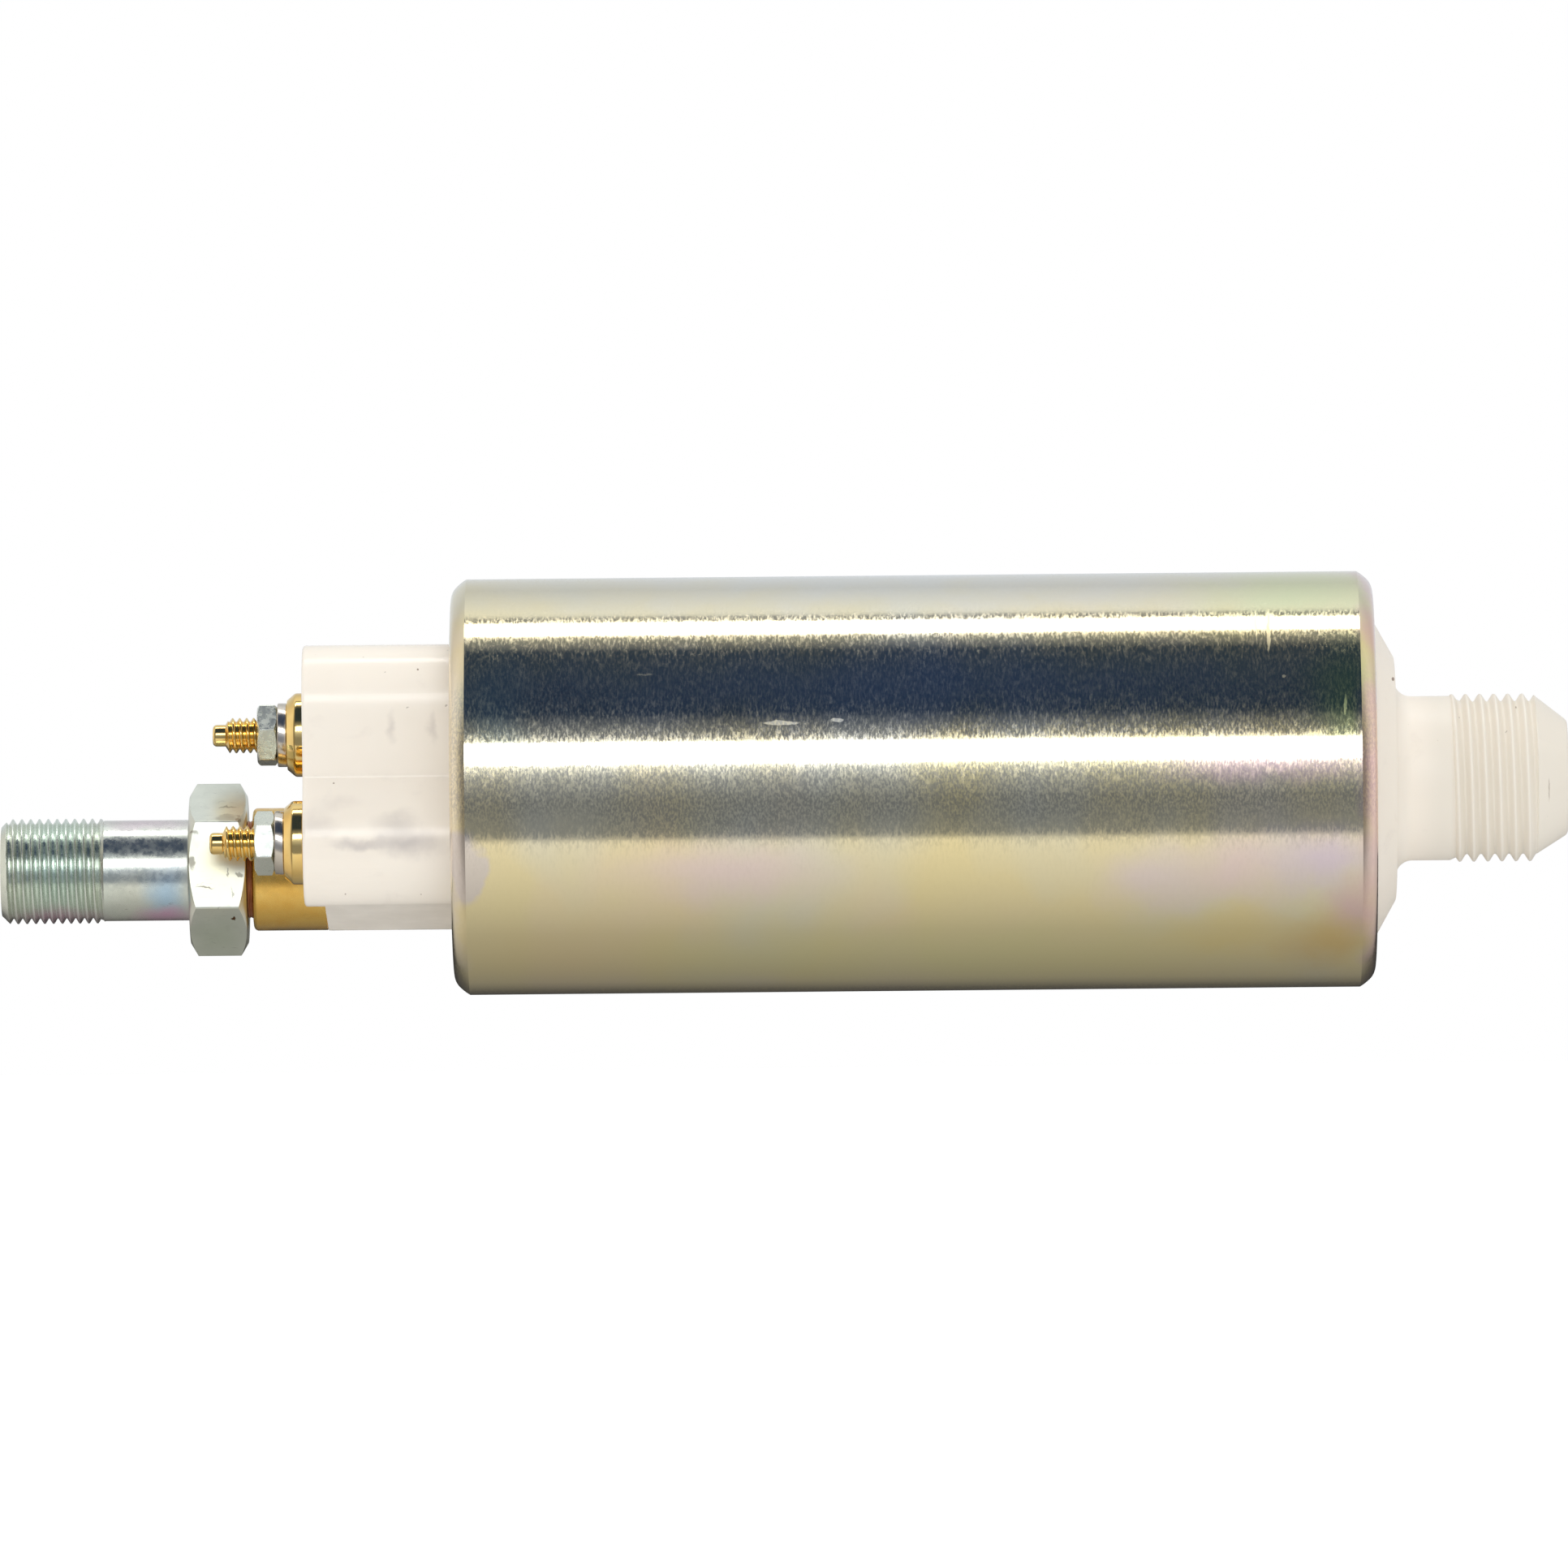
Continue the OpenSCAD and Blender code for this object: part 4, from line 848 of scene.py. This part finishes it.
def plated_tube():
    """Yellow passivated zinc on drawn steel, with lilac and rosy patches and a painted pink highlight
    tint.
    """
    m = Material("plated_tube", 1.0, 0.2)
    base = m.cloudy(24, 3, srgb(238, 224, 184), srgb(241, 224, 168))
    rosy = m.ramp(m.noise(38, 3, place=m.stretched((1, 0.6, 0.6), (0.3, 0, 0))), (0.54, 0), (0.7, 0.2))
    base = m.mix(base, srgb(240, 212, 214), rosy)
    cold = m.ramp(m.noise(30, 3, place=m.stretched((1, 0.7, 0.7), (0.9, 0.4, 0))), (0.56, 0), (0.72, 0.4))
    base = m.mix(base, srgb(206, 220, 230), cold)
    m.warp(3.0, 160)
    grain = m.ramp(m.noise(1, 2, 0.6, m.stretched((4400, 2400, 2400), (5, 2, 4))), (0.42, 0.6), (0.6, 0))
    base = m.mix(base, srgb(158, 156, 148), m.math("MULTIPLY", grain, m.spot(*HANDLED, 0.4)))
    # Plating patches, and the painted pink highlight tint under the front strip's reflection
    base = m.spots(base, TUBE_PATCHES_AND_PAINTED_HIGHLIGHT, 1.0)
    base = m.spots(base, [BARE_PATCH], 0.3)
    streaks = m.noise(1, 2, 0.6, m.stretched((4800, 1500, 1500)))
    mottle = m.noise(1, 2, 0.55, m.stretched((2400, 1000, 1000), (3, 1, 2)))
    rough = m.ramp(streaks, (0.42, 0.07), (0.62, 0.19))
    rough = m.mix(rough, grey(0.28), m.ramp(mottle, (0.52, 0), (0.66, 0.5)))
    m.warp(0.25, 900)
    scuffs = [(at, size, grey(value), strength) for at, size, value, strength in TUBE_SCUFFS]
    rough = m.spots(rough, scuffs)
    grain_depth = 0.003 * MM
    normal = m.bump(streaks, grain_depth)
    normal = m.bump(mottle, grain_depth, under=normal)
    return m.set(base, rough, normal)


# Handling marks on the plastic: place and size in millimetres, colour, strength
CAP_SMUDGES = [
    ((-58.4, -14, 6.9), (0.9, 8, 2.4), srgb(200, 192, 186), 0.5),
    ((-54.0, -14, 6.6), (0.8, 8, 2.4), srgb(202, 194, 188), 0.5),
    ((-58.0, -14, -3.9), (3.8, 8, 2.0), srgb(196, 190, 186), 0.5),
    ((-62.2, -14, -6.3), (5.0, 8, 1.1), srgb(186, 180, 178), 0.6),
    ((-56.8, -14, -6.3), (5.4, 8, 2.4), srgb(180, 174, 174), 0.65),
    ((-67.0, -14, -4.0), (3.0, 8, 2.6), srgb(200, 194, 190), 0.4),
    ((-64.6, -14, -1.6), (4.0, 8, 1.4), srgb(210, 202, 196), 0.3)]
# The inlet spigot: painted shade that makes it a little greyer than the rest, and a duller finish
SPIGOT_PAINTED_SHADE = ((67, 0, 0), (11, 40, 40), srgb(232, 226, 214), 0.8)
SPIGOT_ROUGHNESS = ((63, 0, 0), (14, 40, 40), grey(0.42), 1.0)
# Dark specks: place and size in millimetres, colour, strength
SPECK = srgb(122, 96, 78)
CAP_SPECKS = [
    ((-64.0, -14, -11.9), (0.2, 4, 0.2), SPECK, 0.9), ((-55.5, -14, -12.0), (0.16, 4, 0.16), SPECK, 0.9),
    ((-54.9, -14, -13.4), (0.2, 6, 0.14), SPECK, 0.9), ((-55.6, -12, 13.3), (0.14, 6, 0.14), SPECK, 0.8),
    ((-65.2, -14, 0.6), (0.16, 4, 0.16), SPECK, 0.9), ((54.1, -8, 11.2), (0.22, 4, 0.3), SPECK, 0.9),
    ((68.1, -5, 7.9), (0.14, 4, 0.16), SPECK, 0.8), ((71.6, -8, -1.4), (0.1, 4, 1.6), SPECK, 0.4)]


def cap_plastic():
    """Off-white moulded plastic with faint grey handling marks and specks, and painted shade on the inlet
    spigot.
    """
    m = Material("cap_plastic", 0.0, 0.42)
    m.shader.inputs["Subsurface Weight"].default_value = 0.05
    m.shader.inputs["Subsurface Radius"].default_value = (1.0, 0.8, 0.6)
    m.shader.inputs["Subsurface Scale"].default_value = 1.2 * MM
    base = m.cloudy(60, 3, srgb(243, 235, 223), srgb(247, 240, 229))
    cloud = m.ramp(m.noise(170, 5, 0.62, m.stretched((1, 1, 1.4)), 0.6), (0.6, 0), (0.76, 0.22))
    base = m.mix(base, srgb(216, 208, 200), cloud)
    # Painted shade: a slightly greyer colour laid over the inlet spigot
    base = m.spots(base, [SPIGOT_PAINTED_SHADE], 0.3)
    m.warp(1.2, 420)
    base = m.spots(base, CAP_SMUDGES, 1.0)
    m.warp(0.08, 2500)
    base = m.spots(base, CAP_SPECKS)
    dust = m.ramp(m.noise(1500, 1, 0.4), (0.8, 0), (0.83, 0.5))
    base = m.mix(base, srgb(130, 120, 112), dust)
    rough = m.cloudy(240, 4, 0.15, 0.26)
    rough = m.spots(rough, [SPIGOT_ROUGHNESS], 0.2)
    normal = m.bump(m.noise(2600, 3), 0.002 * MM)
    normal = m.bump(m.noise(140, 2), 0.012 * MM, under=normal)
    return m.set(base, rough, normal)


# Fineness of a turning tool's rings along X, and of their unevenness round them
TOOL_RINGS = (2400, 120, 120)


def turned_metal(name, light, dark, roughness, marks):
    """A turned and handled metal: fine tool rings, cloudy colour and small marks."""
    m = Material(name, 1.0, roughness)
    base = m.cloudy(260, 4, dark, light)
    tarnish = m.ramp(m.noise(620, 4, 0.6, distortion=0.4), (0.58, 0), (0.72, marks))
    shade = tuple(0.55 * v for v in dark[:3]) + (1,)
    base = m.mix(base, shade, tarnish)
    rough = m.cloudy(900, 3, roughness * 0.75, roughness * 1.35)
    normal = m.bump(m.noise(1, 2, 0.5, m.stretched(TOOL_RINGS)), 0.002 * MM)
    normal = m.bump(m.noise(1500, 3), 0.005 * MM, under=normal)
    return m.set(base, rough, normal)


# Iridescent patches on the zinc of the outlet fitting: place and size in millimetres, colour, strength
ZINC_PATCHES = [
    ((-97, 0, -9), (9, 20, 20), srgb(222, 240, 232), 0.6),
    ((-78.75, -2, -9.1), (5, 9, 6.5), srgb(247, 240, 206), 0.9),
    ((-78.75, 0, -17), (5, 20, 4.5), srgb(204, 212, 190), 0.8),
    ((-84.6, 2, -12), (3.6, 9, 4.5), srgb(184, 214, 236), 0.9),
    ((-85, 4, -14.4), (5, 9, 1.8), srgb(236, 186, 214), 0.9),
    ((-87, 4, -3.6), (8, 9, 1.4), srgb(236, 214, 224), 0.7),
    ((-97, 4, -14.8), (8, 9, 2.0), srgb(240, 200, 220), 0.7)]

ZINC_DULL = ((-78.75, 6.8, -9.1), (4.2, 30, 30), grey(0.32), 1.0)
# Scratches and dents on the fitting's hexagon: place and size in millimetres, colour, strength
DENT = srgb(112, 104, 88)
ZINC_DENTS = [
    ((-81.7, -2, -8.2), (0.5, 6, 0.8), DENT, 0.7), ((-80.0, -2, -11.0), (1.3, 6, 0.14), DENT, 0.7),
    ((-77.4, -2, -9.4), (0.12, 6, 0.7), DENT, 0.6), ((-76.2, -2, -9.6), (0.5, 6, 0.25), DENT, 0.7),
    ((-77.0, -2, -11.6), (0.1, 6, 0.7), DENT, 0.5), ((-81.3, -2, -4.9), (0.6, 6, 0.3), DENT, 0.6),
    ((-76.6, -2, -4.7), (0.5, 6, 0.35), DENT, 0.6), ((-77.6, -2, -3.3), (1.5, 6, 0.8), DENT, 0.3),
    ((-77.4, -1, -2.0), (1.6, 6, 0.15), DENT, 0.6), ((-78.2, -1, -1.4), (0.9, 6, 0.12), DENT, 0.6),
    ((-76.3, -1, -3.3), (0.4, 6, 0.45), srgb(120, 96, 60), 0.6),
    ((-76.9, -2, -14.6), (0.35, 6, 0.14), srgb(96, 62, 26), 1.0)]


def zinc_steel():
    """Clear passivated zinc, a little tarnished, with iridescent patches and small dents."""
    m = Material("zinc_steel", 1.0, 0.25)
    base = m.cloudy(260, 4, srgb(218, 221, 207), srgb(234, 236, 222))
    tarnish = m.ramp(m.noise(500, 4, 0.6, distortion=0.5), (0.58, 0), (0.74, 0.14))
    base = m.mix(base, srgb(150, 150, 140), tarnish)
    m.warp(1.0, 300)
    base = m.spots(base, ZINC_PATCHES, 1.0)
    m.warp(0.7, 900)
    base = m.spots(base, ZINC_DENTS)
    scratch = m.ramp(m.noise(1, 3, 0.6, m.stretched((700, 2600, 2600)), 1.5), (0.66, 0), (0.7, 0.6))
    base = m.mix(base, srgb(120, 112, 96), m.math("MULTIPLY", scratch, 0.5))
    rough = m.ramp(m.noise(1300, 3), (0.35, 0.2), (0.65, 0.34))
    rough = m.spots(rough, [ZINC_DULL], 0.15)
    normal = m.bump(m.noise(1, 2, 0.5, m.stretched(TOOL_RINGS)), 0.0012 * MM)
    normal = m.bump(m.noise(900, 3), 0.0006 * MM, under=normal)
    normal = m.bump(scratch, 0.006 * MM, 0.6, under=normal)
    return m.set(base, rough, normal)


def cast_finish(name, light, dark, roughness):
    """A matt grainy finish, for mouldings, rubber, ferrite and carbon."""
    m = Material(name, 0.0, roughness)
    base = m.cloudy(280, 4, dark, light)
    rough = m.cloudy(700, 3, roughness * 0.85, roughness * 1.15)
    return m.set(base, rough, m.bump(m.noise(1400, 4), 0.01 * MM))


def ribs(m, scale, wobble):
    """Height of fine ribs that follow each other along X."""
    wave = m.node("ShaderNodeTexWave", bands_direction="X")
    wave.inputs["Scale"].default_value = scale
    wave.inputs["Distortion"].default_value = wobble
    m.link(m.place, wave.inputs["Vector"])
    return wave.outputs["Fac"]


def wound_wire(name, light, dark):
    """Enamelled wire laid round a winding."""
    m = Material(name, 1.0, 0.3)
    base = m.cloudy(500, 3, dark, light)
    return m.set(base, m.cloudy(800, 3, 0.22, 0.4), m.bump(ribs(m, 600, 1.2), 0.06 * MM))


def laminated(name, light, dark):
    """Stamped sheets, stacked along X."""
    m = Material(name, 1.0, 0.4)
    base = m.cloudy(300, 4, dark, light)
    return m.set(base, m.cloudy(700, 3, 0.32, 0.5), m.bump(ribs(m, 320, 0), 0.04 * MM))


STEEL = (srgb(200, 202, 204), srgb(176, 178, 182))
# Turned metals: two tones, lighter first, then roughness and strength of the marks
TURNED_METALS = {
    "sleeve_brass": (srgb(248, 208, 118), srgb(238, 186, 90), 0.26, 0.15),
    "copper": (srgb(206, 140, 104), srgb(170, 104, 72), 0.34, 0.3),
    "stud_brass": (srgb(255, 224, 150), srgb(250, 208, 124), 0.1, 0.12),
    "nickel_steel": (srgb(234, 224, 210), srgb(212, 202, 186), 0.2, 0.15),
    "spring_steel": (*STEEL, 0.25, 0.3),
    "bush_bronze": (srgb(196, 158, 104), srgb(160, 122, 78), 0.45, 0.3),
    "shaft_steel": (*STEEL, 0.18, 0.3),
    "pump_aluminium": (srgb(214, 216, 218), srgb(184, 186, 190), 0.35, 0.3),
    "rotor_steel": (srgb(150, 150, 154), srgb(120, 120, 124), 0.3, 0.3),
    "screen_steel": (*STEEL, 0.32, 0.3)}
# Cast and moulded finishes: two tones, lighter first, then roughness
CAST_FINISHES = {
    "seal_rubber": (srgb(40, 40, 42), srgb(26, 26, 28), 0.6),
    "ferrite": (srgb(72, 72, 74), srgb(50, 50, 53), 0.55),
    "carbon": (srgb(62, 62, 64), srgb(42, 42, 45), 0.5),
    "phenolic": (srgb(104, 74, 52), srgb(78, 52, 36), 0.45),
    "insulator": (srgb(70, 128, 94), srgb(46, 96, 68), 0.6)}


def make_materials():
    """One material for each of the record's slots."""
    made = {"plated_tube": plated_tube(), "cap_plastic": cap_plastic(), "zinc_steel": zinc_steel()}
    made["lamination"] = laminated("lamination", srgb(150, 152, 156), srgb(118, 120, 126))
    made["enamel_wire"] = wound_wire("enamel_wire", srgb(196, 112, 66), srgb(150, 74, 40))
    for name, row in TURNED_METALS.items():
        made[name] = turned_metal(name, *row)
    for name, row in CAST_FINISHES.items():
        made[name] = cast_finish(name, *row)
    return made


def build(materials):
    """Builds the visible pieces and dresses the frame's own nodes."""
    for row in frame["record"]["subparts"]:
        node = frame["nodes"][row["node"]]
        node.data.materials.clear()
        node.data.materials.append(materials[row["material_slot"]])
    place(housing(), materials["plated_tube"], "plated_tube", "pump_body", "housing_tube")
    place(outlet_cap(), materials["cap_plastic"], "cap_plastic", "pump_body", "outlet_end_cap")
    place(inlet_cap(), materials["cap_plastic"], "cap_plastic", "pump_body", "inlet_end_cap")
    place(fitting(), materials["zinc_steel"], "zinc_steel", "pump_body", "outlet_fitting")
    place(sleeve(), materials["sleeve_brass"], "sleeve_brass", "pump_body", "outlet_insert")
    place(seal_ring(), materials["copper"], "copper", "pump_body", "sealing_washer")
    for side, at, corner, phase, slit in (("upper", REAR, UPPER_NUT_CORNER, 0.3, 0.6),
                                          ("lower", FRONT, LOWER_NUT_CORNER, 0.8, 1.2)):
        place(stud(at, f"stud_{side}", phase), materials["stud_brass"], "stud_brass", "pump_body",
              f"terminal_stud_{side}")
        place(nut(at, f"nut_{side}_hex", math.pi - corner), materials["zinc_steel"], "zinc_steel",
              f"nut_{side}", f"terminal_nut_{side}")
        place(spring_washer(at, f"washer_{side}_spring", slit), materials["nickel_steel"], "nickel_steel",
              f"washer_{side}", f"terminal_washer_{side}")


# Studio
CAMERA_AT = Vector((-14.6, 0, 0.03)) * MM
CAMERA_DISTANCE = 2.2
CAMERA_SIDE = math.radians(0.3)
CAMERA_ROLL = math.radians(-0.54)
FRAME_WIDTH = 0.17725
SENSOR = 36.0
FLOOR_Z = -0.12
FLOOR_GLOW = 0.6
SOFT_LIGHT = 0.57
SOFT_TINT = (1.0, 0.99, 0.97)
SOFT_LEVELS = [(-1, 0.65), (0, 1.0), (1, 1.7)]
# What metal sees round the part: a pale table, the dim room at the camera, a dark ceiling and a pale
# backdrop. Angles go up from the camera's side, in degrees.
TABLE = (1.0, 0.99, 0.96)
DIM_ROOM = (0.85, 0.93, 1.1)
CEILING = (0.28, 0.5, 1.05)
BACKDROP = (0.95, 1.0, 1.05)
TABLE_EDGE = -30
BACKDROP_FOOT = 110
# Level of light from the two sides, from front to back and from below upwards
SIDE_TINT = (1.0, 0.96, 0.92)
SIDE_DEPTH = [(-0.6, 0.25), (-0.35, 0.35), (-0.05, 0.9), (0.2, 1.0), (0.6, 0.75)]
SIDE_HEIGHT = [(-0.9, 0.4), (-0.4, 0.8), (0.1, 1.0), (0.8, 0.8)]
# How far along X a ray has to point to see the sides: not at all, and fully
SIDE_SHARE = [(0.45, 0), (0.7, 1)]


def tinted(levels, tint):
    """Stops of light from stops of its level."""
    return [(at, tuple(level * part for part in tint)) for at, level in levels]


def surroundings():
    """Light that metal sees round X: the angle, up from the camera's side, and the light there."""
    table = [(-180, 0.03), (-158, 0.1), (-140, 0.25), (-90, 0.45), (TABLE_EDGE - 1, 0.9)]
    room = [(TABLE_EDGE + 1, 0.3), (-8, 0.29), (4, 0.55), (10, 1.0), (28, 0.3)]
    ceiling = [(40, 0.09), (80, 0.09)]
    above = [(90, 0.35), (BACKDROP_FOOT - 3, 0.35)]
    backdrop = [(BACKDROP_FOOT, 0.95), (140, 0.65), (180, 0.8)]
    stops = (tinted(table, TABLE) + tinted(room, DIM_ROOM) + tinted(ceiling, CEILING)
             + tinted(above, DIM_ROOM) + tinted(backdrop, BACKDROP))
    return [(math.radians(at), light) for at, light in stops]


def camera():
    data = bpy.data.cameras.new("camera")
    data.sensor_width = SENSOR
    data.lens = SENSOR * CAMERA_DISTANCE / FRAME_WIDTH
    data.clip_end = 50
    seen = bpy.data.objects.new("camera", data)
    bpy.context.scene.collection.objects.link(seen)
    away = Vector((math.sin(CAMERA_SIDE), -math.cos(CAMERA_SIDE), 0))
    seen.location = CAMERA_AT + away * CAMERA_DISTANCE
    aim = (-away).to_track_quat("-Z", "Y").to_matrix().to_4x4()
    seen.rotation_euler = (aim @ Matrix.Rotation(CAMERA_ROLL, 4, "Z")).to_euler()
    bpy.context.scene.camera = seen


def strip(name, angle, distance, width, length, strength):
    """A long soft light along X, placed by its angle above the camera's direction, in degrees."""
    turn = math.radians(angle)
    data = bpy.data.lights.new(name, "AREA")
    data.shape = "RECTANGLE"
    data.size, data.size_y = length, width
    data.energy = strength * math.pi * width * length
    lamp = bpy.data.objects.new(name, data)
    bpy.context.scene.collection.objects.link(lamp)
    away = Vector((0, -math.cos(turn), math.sin(turn)))
    along = Vector((1, 0, 0))
    lamp.location = away * distance + along * CAMERA_AT.x
    lamp.rotation_euler = Matrix((along, away.cross(along), away)).transposed().to_euler()
    lamp.visible_camera = False
    return lamp


def light_ramp(sky, value, span, stops):
    """Light over a span of values. Each stop is a value and the light there."""
    low_end, high_end = span
    scaled = sky.node("ShaderNodeMapRange")
    scaled.inputs["From Min"].default_value = low_end
    scaled.inputs["From Max"].default_value = high_end
    sky.link(value, scaled.inputs["Value"])
    return sky.ramp(scaled.outputs["Result"],
                    *[((at - low_end) / (high_end - low_end), (*light, 1)) for at, light in stops])


def room_light(sky, x, y, z):
    """What metal sees: the surroundings round X, and the sides of the room beyond its two ends."""
    angle = sky.math("ARCTAN2", z, sky.math("MULTIPLY", y, -1))
    front = light_ramp(sky, angle, (-math.pi, math.pi), surroundings())
    depth = light_ramp(sky, y, (-1, 1), tinted(SIDE_DEPTH, SIDE_TINT))
    height = light_ramp(sky, z, (-1, 1), tinted(SIDE_HEIGHT, (1, 1, 1)))
    side = sky.mix(depth, height, 1, "MULTIPLY")
    share = sky.ramp(sky.math("ABSOLUTE", x), *SIDE_SHARE)
    return sky.mix(front, side, share)


def background(sky, color, strength=1):
    made = sky.node("ShaderNodeBackground")
    sky.feed(made.inputs["Color"], color)
    sky.feed(made.inputs["Strength"], strength)
    return made.outputs["Background"]


def either(sky, share, first, second):
    """The first shader, or the second where the share is 1."""
    made = sky.node("ShaderNodeMixShader")
    sky.link(share, made.inputs["Fac"])
    sky.link(first, made.inputs[1])
    sky.link(second, made.inputs[2])
    return made.outputs["Shader"]


def world():
    """White to the camera, the room to metal, and a soft light from above to all the rest."""
    made = bpy.data.worlds.new("studio")
    bpy.context.scene.world = made
    made.use_nodes = True
    made.node_tree.nodes.clear()
    sky = Tree(made.node_tree)
    split = sky.node("ShaderNodeSeparateXYZ")
    sky.link(sky.node("ShaderNodeTexCoord").outputs["Generated"], split.inputs["Vector"])
    x, y, z = split.outputs
    path = sky.node("ShaderNodeLightPath")
    soft = background(sky, light_ramp(sky, z, (-1, 1), tinted(SOFT_LEVELS, SOFT_TINT)), SOFT_LIGHT)
    room = background(sky, room_light(sky, x, y, z))
    lit = either(sky, path.outputs["Is Glossy Ray"], soft, room)
    seen = either(sky, path.outputs["Is Camera Ray"], lit, background(sky, (1, 1, 1, 1)))
    sky.link(seen, sky.node("ShaderNodeOutputWorld").inputs["Surface"])


def floor():
    """A pale floor, white to the camera but for the object's shadow."""
    side = 6.0
    mesh = bpy.data.meshes.new("floor")
    corners = [(x, y, FLOOR_Z) for x, y in ((-side, -side), (side, -side), (side, side), (-side, side))]
    mesh.from_pydata(corners, [], [(0, 1, 2, 3)])
    ground = bpy.data.objects.new("floor", mesh)
    bpy.context.scene.collection.objects.link(ground)
    material = bpy.data.materials.new("floor")
    material.use_nodes = True
    material.node_tree.nodes.clear()
    paint = Tree(material.node_tree)
    matt = paint.node("ShaderNodeBsdfDiffuse")
    matt.inputs["Color"].default_value = srgb(244, 244, 244)
    glow = paint.node("ShaderNodeEmission")
    to_camera = paint.node("ShaderNodeLightPath").outputs["Is Camera Ray"]
    paint.link(paint.math("MULTIPLY", to_camera, FLOOR_GLOW), glow.inputs["Strength"])
    total = paint.node("ShaderNodeAddShader")
    paint.link(matt.outputs["BSDF"], total.inputs[0])
    paint.link(glow.outputs["Emission"], total.inputs[1])
    paint.link(total.outputs["Shader"], paint.node("ShaderNodeOutputMaterial").inputs["Surface"])
    mesh.materials.append(material)
    ground.visible_glossy = False


def studio():
    camera()
    world()
    floor()
    strip("front_strip", angle=17.7, distance=1.1, width=0.232, length=1.0, strength=4.0)
    strip("top_strip", angle=96.5, distance=1.0, width=0.18, length=1.0, strength=4.0)
    view = bpy.context.scene.view_settings
    view.view_transform = "Standard"


materials = make_materials()
build(materials)
studio()
